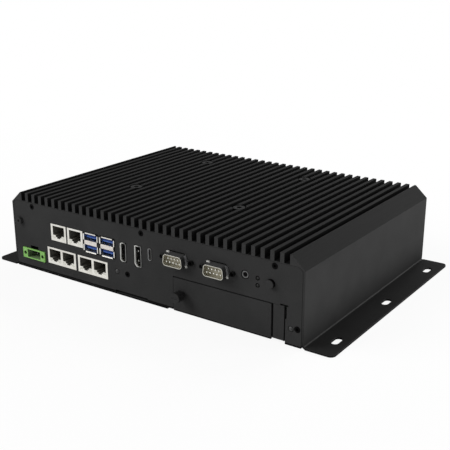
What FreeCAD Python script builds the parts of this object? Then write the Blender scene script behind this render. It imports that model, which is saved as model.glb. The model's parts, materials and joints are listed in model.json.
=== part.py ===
import FreeCAD, Part
import math
import os
import re
import Sketcher

# Fanless box computer in millimetres: X along the front, Y from the front into the depth, Z up.
# The origin lies in the plane that the flanges rest on, at the middle of the case.

doc = FreeCAD.newDocument("BoxComputer")

case_sizes = {
    "body_width": 264,
    "body_depth": 194,
    "body_height": 62,
    "wall_sheet": 1.5,
    "panel_sheet": 1.5,
    "cover_sheet": 1.2,
    "cover_gap": 0.3,
    "cover_recess": 8,
    "recess_margin": 5.5,
    "seam_gap": 0.2,
    "fold_radius": 1,
    "panel_corner": 4,
    "panel_lip": 10,
    "cleat_width": 10,
    "cleat_height": 9,
    "cleat_length": 18,
    "cleat_sheet": 1.5,
    "cleat_end": 19,
    "flange_width": 21.2,
    "flange_corner": 4,
    "relief_width": 3,
    "slot_length": 11,
    "slot_width": 5.2,
    "slot_end": 21.3,
    "slot_inset": 12.7,
}

fin_sizes = {
    "fin_pitch": 7.2,
    "fin_gap": 4.2,
    "fin_height": 6.6,
    "chamfer_run": 9.8,
    "chamfer_rise": 8.9,
    "end_land": 1,
    "slab_thick": 5.9,
    "root_land": 0.4,
    "pocket_radius": 5.5,
}

screw_sizes = {
    "thread_radius": 1.5,
    "thread_gap": 0.05,
    "hole_gap": 0.15,
    "sunk_head_radius": 2.2,
    "sunk_head_height": 1.1,
    "sunk_length": 6,
    "cap_radius": 2.75,
    "cap_height": 2.4,
    "cap_length": 6,
    "key_flats": 2,
    "key_depth": 1,
    "stud_radius": 1.9,
    "stud_rise": 0.8,
    "nut_radius": 2.9,
    "nut_length": 4,
    "top_screw_inset": 20.5,
    "top_screw_drop": 3,
}

board_sizes = {
    "board_sheet": 1.6,
    "board_gap": 1,
    "main_clear": 1,
    "main_depth": 166,
    "main_left_margin": 9.1,
    "main_right_inset": 12,
    "lower_top": 8.8,
    "lower_depth": 48,
    "lower_left_inset": 4,
    "lower_right_space": 3,
    "upper_drop": 16.2,
    "upper_depth": 40,
    "upper_right_inset": 12,
    "upper_left_space": 2,
    "post_radius": 2.75,
    "post_inset": 4,
    "link_width": 8,
    "link_length": 36,
    "clamp_x": -10.3,
    "clamp_setback": 112.9,
    "clamp_span_x": 98.7,
    "clamp_span_y": 95.8,
    "chip_width": 37,
    "chip_height": 2.6,
    "block_width": 52,
    "pad_sheet": 0.8,
    "memory_width": 69.6,
    "memory_depth": 30,
    "memory_sheet": 1.2,
    "memory_lift": 4,
    "memory_socket_depth": 7,
    "memory_socket_width": 73.6,
    "memory_space": 8,
}

network_sizes = {
    "jack_width": 15.9,
    "jack_height": 13.3,
    "jack_depth": 21,
    "jack_lift": 3.7,
    "jack_space": 1.4,
    "twin_width": 30,
    "twin_lift": 0.7,
    "twin_space": 2.3,
    "shield_sheet": 0.4,
    "mouth_width": 11.9,
    "mouth_height": 7.2,
    "mouth_top": 5.2,
    "latch_width": 6.1,
    "latch_height": 1.3,
    "latch_tip_width": 3.4,
    "latch_tip_height": 1.1,
    "mouth_depth": 13,
    "contact_count": 8,
    "contact_pitch": 1.02,
    "contact_width": 0.5,
    "contact_thick": 0.35,
    "contact_length": 9,
    "lamp_width": 2.6,
    "lamp_height": 1.9,
    "lamp_length": 6,
    "port_pitch": 14.2,
}

data_sizes = {
    "stack_space": 1.7,
    "stack_gap": 2.2,
    "stack_width": 14,
    "stack_height": 15.4,
    "stack_depth": 18,
    "stack_lift": 1.8,
    "stack_pitch": 8.4,
    "data_mouth_width": 12.6,
    "data_mouth_height": 4.9,
    "data_mouth_depth": 10,
    "tongue_width": 11.1,
    "tongue_thick": 2,
    "tongue_drop": 1.2,
    "tongue_recess": 1,
}

video_sizes = {
    "video_a_space": 5.55,
    "video_a_width": 5.5,
    "video_a_height": 14.4,
    "video_a_lift": 1.85,
    "video_b_space": 8.1,
    "video_b_width": 6.1,
    "video_b_height": 15.9,
    "video_b_lift": 0.85,
    "video_depth": 14,
    "video_chamfer": 1.8,
    "video_a_corner": 1.9,
    "video_b_corner": 0.9,
    "video_wall": 0.5,
    "video_mouth_depth": 9,
    "video_tongue_thick": 1.5,
    "video_tongue_height": 11,
    "oval_space": 6.35,
    "oval_serial_space": 7.4,
    "oval_width": 3,
    "oval_height": 9,
    "oval_lift": 8,
    "oval_depth": 9,
    "oval_wall": 0.3,
    "oval_tongue_thick": 0.7,
    "oval_tongue_height": 6.4,
    "port_proud": 0.4,
    "port_gap": 0.25,
}

serial_sizes = {
    "serial_gap": 3.2,
    "serial_lift": 6.4,
    "audio_serial_space": 2.1,
    "shell_width": 16.9,
    "shell_height": 8.4,
    "shell_slant": 0.9,
    "shell_corner": 2.4,
    "shell_wall": 0.5,
    "shell_proud": 6,
    "shell_gap": 1.2,
    "plate_margin": 2.9,
    "shell_plate_height": 12.4,
    "shell_plate_sheet": 0.6,
    "shell_body_depth": 9,
    "insulator_depth": 3.5,
    "jack_screw_space": 4.05,
    "jack_screw_radius": 1.9,
    "jack_screw_rise": 2.2,
    "pin_radius": 0.5,
    "pin_pitch": 2.77,
    "pin_row_gap": 2.84,
    "pin_recess": 1,
}

control_sizes = {
    "button_inset": 23,
    "button_lift": 6.3,
    "button_radius": 2.9,
    "button_gap": 0.2,
    "button_proud": 2.4,
    "button_collar": 0.8,
    "button_collar_sheet": 1.2,
    "button_travel": 1,
    "button_stem_radius": 1.2,
    "button_stem_length": 7,
    "switch_width": 8,
    "switch_depth": 9,
    "switch_space": 2.6,
    "lamp_space": 10.2,
    "lamp_radius": 1.5,
    "lamp_lift": 5,
    "lamp_pitch": 5,
    "lamp_proud": 0.8,
    "lamp_holder_width": 5.5,
    "lamp_holder_depth": 6,
    "audio_space": 9.7,
    "audio_lift": 7.8,
    "audio_ring_radius": 2.9,
    "audio_bore_radius": 1.6,
    "audio_bore_depth": 12,
    "audio_proud": 0.6,
    "audio_width": 8,
    "audio_depth": 14,
    "audio_head": 3.6,
}

power_sizes = {
    "header_left_inset": 7.9,
    "header_width": 24.1,
    "header_height": 8.4,
    "header_depth": 12,
    "header_wall": 1,
    "header_ear": 5,
    "header_mouth_depth": 8.5,
    "header_proud": 1,
    "header_slot_width": 8.6,
    "header_slot_height": 2.4,
    "header_slot_shift": 0.3,
    "ear_hole_radius": 1.4,
    "power_pin": 1,
    "power_pin_pitch": 5.08,
    "power_pin_length": 6,
    "power_space": 3,
    "ground_inset": 6.6,
    "ground_z": 38.9,
}

drive_sizes = {
    "step_inset": 12,
    "strip_gap": 1,
    "strip_width": 8,
    "strip_low": 3.7,
    "step_width": 0.9,
    "step_z": 18,
    "tee_width": 6.2,
    "tee_height": 1,
    "door_gap": 0.7,
    "door_left_gap": 0.25,
    "door_top_gap": 0.9,
    "door_low": 2,
    "door_top": 25.65,
    "tray_sheet": 1.2,
    "tray_rise": 0.8,
    "tray_fold": 0.8,
    "tray_inset": 2.4,
    "tray_side": 7,
    "tray_margin": 2.3,
    "drive_width": 69.85,
    "drive_side_gap": 1.775,
    "drive_depth": 100.2,
    "drive_height": 7,
    "drive_corner": 2,
    "drive_setback": 6,
    "drive_key_width": 40,
    "drive_key_depth": 4,
    "drive_hole_span": 76.6,
    "drive_hole_start": 14,
    "drive_hole_inset": 4.1,
    "drive_screw_length": 3,
    "drive_head_radius": 2,
    "drive_head_height": 0.7,
    "cage_sheet": 1.2,
    "cage_gap": 0.5,
    "cage_clear": 0.6,
    "cage_short": 4.2,
    "cage_foot": 9,
    "tab_gap": 2,
    "tab_width": 11.6,
    "tab_clear": 0.8,
    "riser_gap": 0.4,
    "riser_socket_depth": 4,
    "riser_low": 3,
    "riser_width": 50,
    "thumb_inset": 7.8,
    "thumb_z": 14.6,
    "thumb_radius": 3.9,
    "thumb_length": 6.4,
    "thumb_neck_radius": 2.6,
    "thumb_neck_length": 2.4,
    "thumb_shank_radius": 1.7,
    "thumb_shank_gap": 0.3,
    "thumb_ring_radius": 2.7,
    "thumb_ring_sheet": 0.8,
    "thumb_ribs": 18,
    "thumb_rib_depth": 0.35,
    "thumb_slot_width": 1.2,
}

panel_sizes = {
    "notch_space": 7.4,
    "notch_bay_space": 23.35,
    "notch_height": 2,
    "stud_a_space": 9.5,
    "stud_a_z": 18.3,
    "screw_b_space": 19.3,
    "screw_b_z": 18,
    "stud_c_inset": 7.8,
    "stud_c_z": 12.1,
    "screw_d_inset": 3.1,
    "screw_d_z": 12.8,
    "plug_radius": 4.2,
    "plug_hole_radius": 3.2,
    "plug_rise": 1.2,
    "plug_length": 3,
    "plug_pitch": 50,
    "plug_z": 38,
    "cover_screw_inset": 22,
    "lip_screw_setback": 6,
}

all_groups = (case_sizes, fin_sizes, screw_sizes, board_sizes, network_sizes, data_sizes, video_sizes,
              serial_sizes, control_sizes, power_sizes, drive_sizes, panel_sizes)

# Places worked out from the sizes
places = {
    "front_y": "-body_depth / 2",
    "rear_y": "body_depth / 2",
    "half_width": "body_width / 2",
    "wall_in": "half_width - wall_sheet",
    "panel_in": "front_y + panel_sheet",
    "rear_in": "rear_y - panel_sheet",
    "cover_top": "cover_gap + cover_sheet",
    "shoulder_z": "body_height - chamfer_rise",
    "root_z": "body_height - fin_height",
    "slab_low": "root_z - slab_thick",
    "rabbet_z": "root_z - root_land",
    "panel_edge": "wall_in - seam_gap",
    "panel_high": "rabbet_z - seam_gap",
    "fin_slots": "floor((body_width - 2 * chamfer_run - 2 * end_land - fin_gap) / fin_pitch) + 1",
    "fin_span": "(fin_slots - 1) * fin_pitch",
    "cleat_low": "slab_low - cleat_sheet",
    "outer_fold": "fold_radius + wall_sheet",
    "slot_pitch": "body_depth / 2 - slot_end",
    "side_screw_pitch": "body_depth / 2 - cleat_end",
    "top_screw_reach": "wall_in - top_screw_inset",
    "top_screw_z": "rabbet_z - top_screw_drop",
    "clamp_y": "front_y + clamp_setback",
    "board_front": "panel_in + board_gap",
    "main_right": "wall_in - main_right_inset",
    "main_low": "lower_top + twin_lift + jack_height + main_clear",
    "main_top": "main_low + board_sheet",
    "lower_low": "lower_top - board_sheet",
    "upper_top": "slab_low - upper_drop",
    "upper_low": "upper_top - board_sheet",
    "header_left": "header_left_inset - wall_in",
    "header_x": "header_left + header_width / 2",
    "header_z": "lower_top + header_height / 2",
    "twin_a_x": "header_left + header_width + power_space + twin_width / 2",
    "twin_b_x": "twin_a_x + twin_width + twin_space",
    "twin_z": "lower_top + twin_lift + jack_height / 2",
    "lower_left": "lower_left_inset - wall_in",
    "lower_right": "twin_b_x + twin_width / 2 + lower_right_space",
    "shell_plate_width": "shell_width + 2 * (jack_screw_space + plate_margin)",
    "jack_screw_span": "shell_width + 2 * jack_screw_space",
    "button_x": "wall_in - button_inset",
    "button_z": "upper_top + button_lift",
    "lamp_x": "button_x - lamp_space",
    "lamp_z": "upper_top + lamp_lift",
    "audio_x": "lamp_x - audio_space",
    "audio_z": "upper_top + audio_lift",
    "serial_b_x": "audio_x - (audio_width + shell_plate_width) / 2 - audio_serial_space",
    "serial_a_x": "serial_b_x - shell_plate_width - serial_gap",
    "serial_z": "upper_top + serial_lift",
    "oval_x": "serial_a_x - (shell_plate_width + oval_width) / 2 - oval_serial_space",
    "oval_z": "main_top + oval_lift + oval_height / 2",
    "video_b_x": "oval_x - (video_b_width + oval_width) / 2 - oval_space",
    "video_b_z": "main_top + video_b_lift + video_b_height / 2",
    "video_a_x": "video_b_x - (video_a_width + video_b_width) / 2 - video_b_space",
    "video_a_z": "main_top + video_a_lift + video_a_height / 2",
    "stack_b_x": "video_a_x - (stack_width + video_a_width) / 2 - video_a_space",
    "stack_a_x": "stack_b_x - stack_width - stack_gap",
    "stack_z": "main_top + stack_lift + stack_height / 2",
    "jack_b_x": "stack_a_x - (jack_width + stack_width) / 2 - stack_space",
    "jack_a_x": "jack_b_x - jack_width - jack_space",
    "jack_z": "main_top + jack_lift + jack_height / 2",
    "main_left": "jack_a_x - jack_width / 2 - main_left_margin",
    "upper_left": "serial_a_x - shell_plate_width / 2 + upper_left_space",
    "upper_right": "wall_in - upper_right_inset",
    "bay_right": "wall_in - step_inset",
    "strip_right": "bay_right - strip_gap",
    "strip_left": "strip_right - strip_width",
    "door_right": "strip_left - door_gap",
    "door_width": "drive_width + 2 * (drive_side_gap + tray_sheet + tray_inset)",
    "door_left": "door_right - door_width",
    "bay_left": "door_left - door_left_gap",
    "bay_top": "door_top + door_top_gap",
    "notch_left": "twin_b_x + twin_width / 2 + notch_space",
    "notch_right": "bay_left - notch_bay_space",
    "tray_left": "door_left + tray_inset",
    "tray_right": "door_right - tray_inset",
    "tray_low": "door_low + tray_rise",
    "floor_top": "tray_low + tray_sheet",
    "drive_x": "(tray_left + tray_right) / 2",
    "drive_front": "panel_in + drive_setback",
    "drive_back": "drive_front + drive_depth",
    "drive_top": "floor_top + drive_height",
    "tray_back": "drive_back + tray_margin",
    "cage_left": "tray_left - cage_gap",
    "cage_right": "tray_right + cage_gap",
    "cage_top": "main_low - cage_clear",
    "cage_low": "cage_top - cage_sheet",
    "tab_front": "panel_in + tab_gap",
    "tab_low": "drive_top + tab_clear",
    "cage_back": "drive_back - cage_short",
    "socket_front": "drive_back + riser_gap",
    "riser_front": "socket_front + riser_socket_depth",
    "thumb_x": "door_left + thumb_inset",
    "stud_a_x": "twin_b_x + twin_width / 2 + stud_a_space",
    "screw_b_x": "twin_b_x + twin_width / 2 + screw_b_space",
    "stud_c_x": "wall_in - stud_c_inset",
    "screw_d_x": "wall_in - screw_d_inset",
    "ground_x": "ground_inset - wall_in",
    "chip_top": "main_top + chip_height",
    "memory_back": "clamp_y - block_width / 2 - memory_space",
    "shank_hole": "thread_radius + hole_gap",
    "tapped_hole": "thread_radius + thread_gap",
    "sunk_hole": "sunk_head_radius + hole_gap",
}

sizes_sheet = doc.addObject("Spreadsheet::Sheet", "Sizes")
places_sheet = doc.addObject("Spreadsheet::Sheet", "Places")
driving = {alias: size for group in all_groups for alias, size in group.items()}
references = {alias: f"Sizes.{alias}" for alias in driving}
references.update({alias: f"Places.{alias}" for alias in places})


def formula(text):
    return re.sub(r"[A-Za-z_]\w*", lambda word: references.get(word.group(), word.group()), str(text))


def fill_sheet(sheet, rows):
    for row, (alias, text) in enumerate(rows.items(), 1):
        sheet.set(f"A{row}", alias)
        sheet.set(f"B{row}", text)
        sheet.setAlias(f"B{row}", alias)


fill_sheet(sizes_sheet, {alias: str(size) for alias, size in driving.items()})
fill_sheet(places_sheet, {alias: "=" + formula(text) for alias, text in places.items()})
doc.recompute()

nodes = {}


def value(text):
    return float(sizes_sheet.evalExpression(formula(text)))


def bind(thing, size, text):
    thing.setExpression(size, formula(text))


def node(label, thing):
    thing.Label = label
    nodes[label] = thing
    return thing


# Part primitives and booleans

def block(x_span, y_span, z_span):
    box = doc.addObject("Part::Box", "Block")
    for axis, size, (low, high) in zip("xyz", ("Length", "Width", "Height"), (x_span, y_span, z_span)):
        bind(box, size, f"({high}) - ({low})")
        bind(box, f"Placement.Base.{axis}", low)
    return box


def centred(middle, width):
    return f"{middle} - ({width}) / 2", f"{middle} + ({width}) / 2"


turns = {
    "up": FreeCAD.Rotation(),
    "down": FreeCAD.Rotation(FreeCAD.Vector(1, 0, 0), 180),
    "front": FreeCAD.Rotation(FreeCAD.Vector(1, 0, 0), 90),
    "back": FreeCAD.Rotation(FreeCAD.Vector(1, 0, 0), -90),
}


def place(thing, spot, facing):
    thing.Placement = FreeCAD.Placement(FreeCAD.Vector(), turns[facing])
    for axis, text in zip("xyz", spot):
        bind(thing, f"Placement.Base.{axis}", text)
    return thing


def rod(spot, facing, radius, length):
    cylinder = doc.addObject("Part::Cylinder", "Rod")
    bind(cylinder, "Radius", radius)
    bind(cylinder, "Height", length)
    return place(cylinder, spot, facing)


def hex_rod(spot, facing, radius, length):
    prism = doc.addObject("Part::Prism", "HexRod")
    prism.Polygon = 6
    bind(prism, "Circumradius", radius)
    bind(prism, "Height", length)
    return place(prism, spot, facing)


def cone(spot, facing, wide, narrow, length):
    taper = doc.addObject("Part::Cone", "Cone")
    bind(taper, "Radius1", wide)
    bind(taper, "Radius2", narrow)
    bind(taper, "Height", length)
    return place(taper, spot, facing)


def group(things):
    compound = doc.addObject("Part::Compound", "Group")
    compound.Links = things
    return compound


def join(things):
    fused = doc.addObject("Part::MultiFuse", "Joined")
    fused.Shapes = things
    fused.Refine = True
    return fused


def cut(base, tools):
    carved = doc.addObject("Part::Cut", "Carved")
    carved.Base = base
    carved.Tool = tools[0] if len(tools) == 1 else group(tools)
    return carved


def copies(master, spots, facing):
    linked = []
    for spot in spots:
        link = doc.addObject("App::Link", "Copy")
        link.LinkedObject = master
        linked.append(place(link, spot, facing))
    return linked


# Bodies with sketches and features

def body(name):
    return doc.addObject("PartDesign::Body", name)


def origin(owner, role):
    return next(item for item in owner.Origin.OriginFeatures if item.Role == role)


def sketch(owner, plane, level="0"):
    made = owner.newObject("Sketcher::SketchObject", "Sketch")
    made.AttachmentSupport = [(origin(owner, plane + "_Plane"), "")]
    made.MapMode = "FlatFace"
    sign = "-1" if plane == "XZ" else "1"
    bind(made, "AttachmentOffset.Base.z", f"{sign} * ({level})")
    return made


def pin(drawn, item, end, x, y):
    for kind, text in (("DistanceX", x), ("DistanceY", y)):
        rule = drawn.addConstraint(Sketcher.Constraint(kind, -1, 1, item, end, value(text)))
        bind(drawn, f"Constraints[{rule}]", text)


def vector(x, y):
    return FreeCAD.Vector(value(x), value(y), 0)


# Each corner is (x, y) or (x, y, radius); a radius needs edges along the axes on both sides.
def outline(drawn, corners):
    points = [vector(corner[0], corner[1]) for corner in corners]
    ways = [(points[(i + 1) % len(points)] - point).normalize() for i, point in enumerate(points)]
    ends = []
    for i, corner in enumerate(corners):
        reach = corner[2] if len(corner) > 2 else "0"
        before, after = ways[i - 1], ways[i]
        into = [f"({c}) - ({reach}) * {round(w)}" for c, w in zip(corner, (before.x, before.y))]
        out = [f"({c}) + ({reach}) * {round(w)}" for c, w in zip(corner, (after.x, after.y))]
        ends.append((into, out))
    lines = []
    for i in range(len(corners)):
        start, stop = ends[i][1], ends[(i + 1) % len(corners)][0]
        lines.append(drawn.addGeometry(Part.LineSegment(vector(*start), vector(*stop)), False))
        pin(drawn, lines[-1], 1, *start)
    for i, corner in enumerate(corners):
        if len(corner) == 2:
            drawn.addConstraint(Sketcher.Constraint("Coincident", lines[i - 1], 2, lines[i], 1))
            continue
        pin(drawn, lines[i - 1], 2, *ends[i][0])
        round_corner(drawn, lines[i - 1], lines[i], ends[i], corner[2], ways[i - 1], ways[i])


def round_corner(drawn, line_in, line_out, tangents, radius, before, after):
    first, last = vector(*tangents[0]), vector(*tangents[1])
    centre = first + after * value(radius)
    left_turn = before.cross(after).z > 0
    start, stop = (first, last) if left_turn else (last, first)
    angles = [math.atan2(point.y - centre.y, point.x - centre.x) for point in (start, stop)]
    if angles[1] < angles[0]:
        angles[1] += 2 * math.pi
    circle = Part.Circle(centre, FreeCAD.Vector(0, 0, 1), value(radius))
    arc = drawn.addGeometry(Part.ArcOfCircle(circle, *angles), False)
    meet_in, meet_out = (1, 2) if left_turn else (2, 1)
    drawn.addConstraint(Sketcher.Constraint("Coincident", line_in, 2, arc, meet_in))
    drawn.addConstraint(Sketcher.Constraint("Coincident", arc, meet_out, line_out, 1))
    rule = drawn.addConstraint(Sketcher.Constraint("Radius", arc, value(radius)))
    bind(drawn, f"Constraints[{rule}]", radius)


def rectangle(drawn, x_span, y_span):
    (left, right), (low, high) = x_span, y_span
    outline(drawn, [(left, low), (right, low), (right, high), (left, high)])


def circle(drawn, x, y, radius):
    round_edge = Part.Circle(vector(x, y), FreeCAD.Vector(0, 0, 1), value(radius))
    item = drawn.addGeometry(round_edge, False)
    pin(drawn, item, 3, x, y)
    rule = drawn.addConstraint(Sketcher.Constraint("Radius", item, value(radius)))
    bind(drawn, f"Constraints[{rule}]", radius)


# A slot with round ends whose length runs along the sketch's Y
def long_slot(drawn, x, y, length, width):
    reach = f"(({length}) - ({width})) / 2"
    left, right = centred(x, width)
    low, high = f"{y} - {reach}", f"{y} + {reach}"
    sides = []
    for start, stop in (((right, low), (right, high)), ((left, high), (left, low))):
        side = drawn.addGeometry(Part.LineSegment(vector(*start), vector(*stop)), False)
        pin(drawn, side, 1, *start)
        pin(drawn, side, 2, *stop)
        sides.append(side)
    for turn, level in enumerate((high, low)):
        whole = Part.Circle(vector(x, level), FreeCAD.Vector(0, 0, 1), value(width) / 2)
        cap = drawn.addGeometry(Part.ArcOfCircle(whole, math.pi * turn, math.pi * (turn + 1)), False)
        drawn.addConstraint(Sketcher.Constraint("Coincident", sides[turn], 2, cap, 1))
        drawn.addConstraint(Sketcher.Constraint("Coincident", cap, 2, sides[1 - turn], 1))
        rule = drawn.addConstraint(Sketcher.Constraint("DistanceY", -1, 1, cap, 3, value(level)))
        bind(drawn, f"Constraints[{rule}]", level)


# A pad on the XZ plane goes back (+Y) and one on the XY plane goes up, unless flipped.
def pad(owner, drawn, length, flipped=False):
    made = owner.newObject("PartDesign::Pad", "Pad")
    made.Profile = drawn
    bind(made, "Length", length)
    upright = drawn.AttachmentSupport[0][0].Role == "XZ_Plane"
    made.Reversed = upright != flipped
    return made


# A pocket on the XZ plane cuts back (+Y) and one on the XY plane cuts down, unless flipped.
def pocket(owner, drawn, length, flipped=False):
    made = owner.newObject("PartDesign::Pocket", "Pocket")
    made.Profile = drawn
    bind(made, "Length", length)
    made.Reversed = flipped
    return made


def pattern(owner, feature, role, length, count):
    made = owner.newObject("PartDesign::LinearPattern", "Pattern")
    made.Originals = [feature]
    made.Direction = (origin(owner, role), [""])
    bind(made, "Length", length)
    bind(made, "Occurrences", count)
    owner.Tip = made
    return made


def soften(owner, radius, wanted):
    doc.recompute()
    base = owner.Tip
    edges = [f"Edge{i}" for i, edge in enumerate(base.Shape.Edges, 1) if wanted(edge)]
    made = owner.newObject("PartDesign::Fillet", "Fillet")
    made.Base = (base, edges)
    bind(made, "Radius", radius)
    return made


def runs_along(edge, axis):
    span = edge.BoundBox
    spans = {"x": span.XLength, "y": span.YLength, "z": span.ZLength}
    return spans[axis] > 0.01 and sum(spans.values()) - spans[axis] < 0.01


# Screws, modelled once with the head's top at the origin and the shank hanging down

def sunk_screw():
    owner = body("SunkScrew")
    drawn = sketch(owner, "XZ")
    outline(drawn, [("0", "-sunk_length"), ("thread_radius", "-sunk_length"),
                    ("thread_radius", "-sunk_head_height"), ("sunk_head_radius", "0"), ("0", "0")])
    turned(owner, drawn)
    key_hole(owner)
    return owner


def cap_screw(length, radius, height):
    owner = body("CapScrew")
    drawn = sketch(owner, "XZ")
    outline(drawn, [("0", f"-({length})"), ("thread_radius", f"-({length})"), ("thread_radius", "0"),
                    (radius, "0"), (radius, height), ("0", height)])
    turned(owner, drawn)
    key_hole(owner, height)
    return owner


def turned(owner, drawn):
    made = owner.newObject("PartDesign::Revolution", "Turned")
    made.Profile = drawn
    made.ReferenceAxis = (drawn, ["V_Axis"])
    made.Angle = 360
    return made


def hexagon(drawn, flats):
    reach = f"({flats}) / sqrt(3)"
    outline(drawn, [(f"{reach} * cos({60 * i}deg)", f"{reach} * sin({60 * i}deg)") for i in range(6)])


def key_hole(owner, level="0"):
    drawn = sketch(owner, "XY", level)
    hexagon(drawn, "key_flats")
    pocket(owner, drawn, "key_depth")


# Heatsink cover: one extrusion with fins, chamfered edges and rabbets for both panels

def clamp_spots(level):
    return [(f"clamp_x + {i} * clamp_span_x / 2", f"clamp_y + {j} * clamp_span_y / 2", level)
            for i in (-1, 1) for j in (-1, 1)]


def cleat_spots(level):
    return [(f"{side} * (wall_in - cleat_width / 2)", f"{j} * side_screw_pitch", level)
            for side in (-1, 1) for j in (-1, 0, 1)]


def top_screw_spots(level):
    return [(f"{i} * top_screw_reach", level, "top_screw_z") for i in (-1, 0, 1)]


def panel_outline(drawn, edge, high, low):
    outline(drawn, [(f"-{edge}", low), (edge, low), (edge, high, "panel_corner"),
                    (f"-{edge}", high, "panel_corner")])


def heatsink_cover():
    owner = body("HeatsinkBody")
    drawn = sketch(owner, "XZ", "front_y")
    outline(drawn, [("-wall_in", "slab_low"), ("wall_in", "slab_low"), ("wall_in", "shoulder_z"),
                    ("half_width", "shoulder_z"), ("half_width - chamfer_run", "body_height"),
                    ("chamfer_run - half_width", "body_height"), ("-half_width", "shoulder_z"),
                    ("-wall_in", "shoulder_z")])
    pad(owner, drawn, "body_depth")
    drawn = sketch(owner, "XZ", "front_y")
    rectangle(drawn, centred("-fin_span / 2", "fin_gap"), ("root_z", "body_height + fin_height"))
    first_slot = pocket(owner, drawn, "body_depth")
    pattern(owner, first_slot, "X_Axis", "fin_span", "fin_slots")
    for level in ("front_y", "rear_in"):
        drawn = sketch(owner, "XZ", level)
        panel_outline(drawn, "wall_in", "rabbet_z", "slab_low - panel_corner")
        pocket(owner, drawn, "panel_sheet")
    drawn = sketch(owner, "XY", "body_height")
    for x, y, _ in clamp_spots("0"):
        circle(drawn, x, y, "pocket_radius")
    pocket(owner, drawn, "fin_height")
    drawn = sketch(owner, "XY", "root_z")
    for x, y, _ in clamp_spots("0"):
        circle(drawn, x, y, "shank_hole")
    pocket(owner, drawn, "slab_thick")
    tapped = [rod(spot, "back", "tapped_hole", "sunk_length") for spot in top_screw_spots("panel_in")]
    tapped += [rod(spot, "front", "tapped_hole", "sunk_length") for spot in top_screw_spots("rear_in")]
    tapped += [rod(spot, "up", "tapped_hole", "cap_length - cleat_sheet") for spot in cleat_spots("slab_low")]
    node("heatsink_cover", cut(owner, tapped))


# Front and rear panels

def front_screw_spots():
    return top_screw_spots("front_y") + [("screw_b_x", "front_y", "screw_b_z"),
                                         ("screw_d_x", "front_y", "screw_d_z")]


def stud_spots():
    return [("stud_a_x", "front_y", "stud_a_z"), ("stud_c_x", "front_y", "stud_c_z")]


def sunk_holes(spots, inwards, thickness):
    cones = [cone(spot, inwards, "sunk_hole", "shank_hole", "sunk_head_height") for spot in spots]
    return [join([taper, rod(spot, inwards, "shank_hole", thickness)]) for taper, spot in zip(cones, spots)]


def panel_sockets(drawn):
    openings = [("header_x", "header_z", "header_width", "header_height"),
                ("twin_a_x", "twin_z", "twin_width", "jack_height"),
                ("twin_b_x", "twin_z", "twin_width", "jack_height"),
                ("jack_a_x", "jack_z", "jack_width", "jack_height"),
                ("jack_b_x", "jack_z", "jack_width", "jack_height"),
                ("stack_a_x", "stack_z", "stack_width", "stack_height"),
                ("stack_b_x", "stack_z", "stack_width", "stack_height"),
                ("video_a_x", "video_a_z", "video_a_width", "video_a_height"),
                ("video_b_x", "video_b_z", "video_b_width", "video_b_height")]
    for x, z, width, height in openings:
        rectangle(drawn, centred(x, f"{width} + 2 * port_gap"), centred(z, f"{height} + 2 * port_gap"))
    long_slot(drawn, "oval_x", "oval_z", "oval_height + 2 * port_gap", "oval_width + 2 * port_gap")
    circle(drawn, "audio_x", "audio_z", "audio_ring_radius + port_gap")
    circle(drawn, "button_x", "button_z", "button_radius + button_gap")
    for i in (-1, 1):
        circle(drawn, "lamp_x", f"lamp_z + {i} * lamp_pitch / 2", "lamp_radius + hole_gap")
    for x, _, z in stud_spots():
        circle(drawn, x, z, "stud_radius + hole_gap")
    circle(drawn, "ground_x", "ground_z", "shank_hole")
    for x in ("serial_a_x", "serial_b_x"):
        for i in (-1, 1):
            circle(drawn, f"{x} + {i} * jack_screw_span / 2", "serial_z", "shank_hole")


def bay_notch(drawn):
    outline(drawn, [("bay_left", "cover_gap"), ("bay_right", "cover_gap"), ("bay_right", "step_z"),
                    ("bay_right + step_width", "step_z"), ("bay_right + step_width", "bay_top"),
                    ("bay_right - strip_gap + tee_width / 2", "bay_top"),
                    ("bay_right - strip_gap + tee_width / 2", "bay_top + tee_height"),
                    ("bay_right - strip_gap - tee_width / 2", "bay_top + tee_height"),
                    ("bay_right - strip_gap - tee_width / 2", "bay_top"), ("bay_left", "bay_top")])


def serial_outline(drawn, x, grow):
    bottom = f"shell_width / 2 + {grow}"
    top = f"shell_width / 2 - shell_slant + {grow}"
    reach = f"shell_height / 2 + {grow}"
    low, high = f"serial_z - ({reach})", f"serial_z + {reach}"
    outline(drawn, [(f"{x} - ({bottom})", low), (f"{x} + {bottom}", low),
                    (f"{x} + {top}", high), (f"{x} - ({top})", high)])


def serial_prism(x, grow, start, length):
    owner = body("SerialPrism")
    drawn = sketch(owner, "XZ", start)
    serial_outline(drawn, x, grow)
    pad(owner, drawn, length)
    soften(owner, f"shell_corner + {grow}", lambda edge: runs_along(edge, "y"))
    return owner


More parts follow.
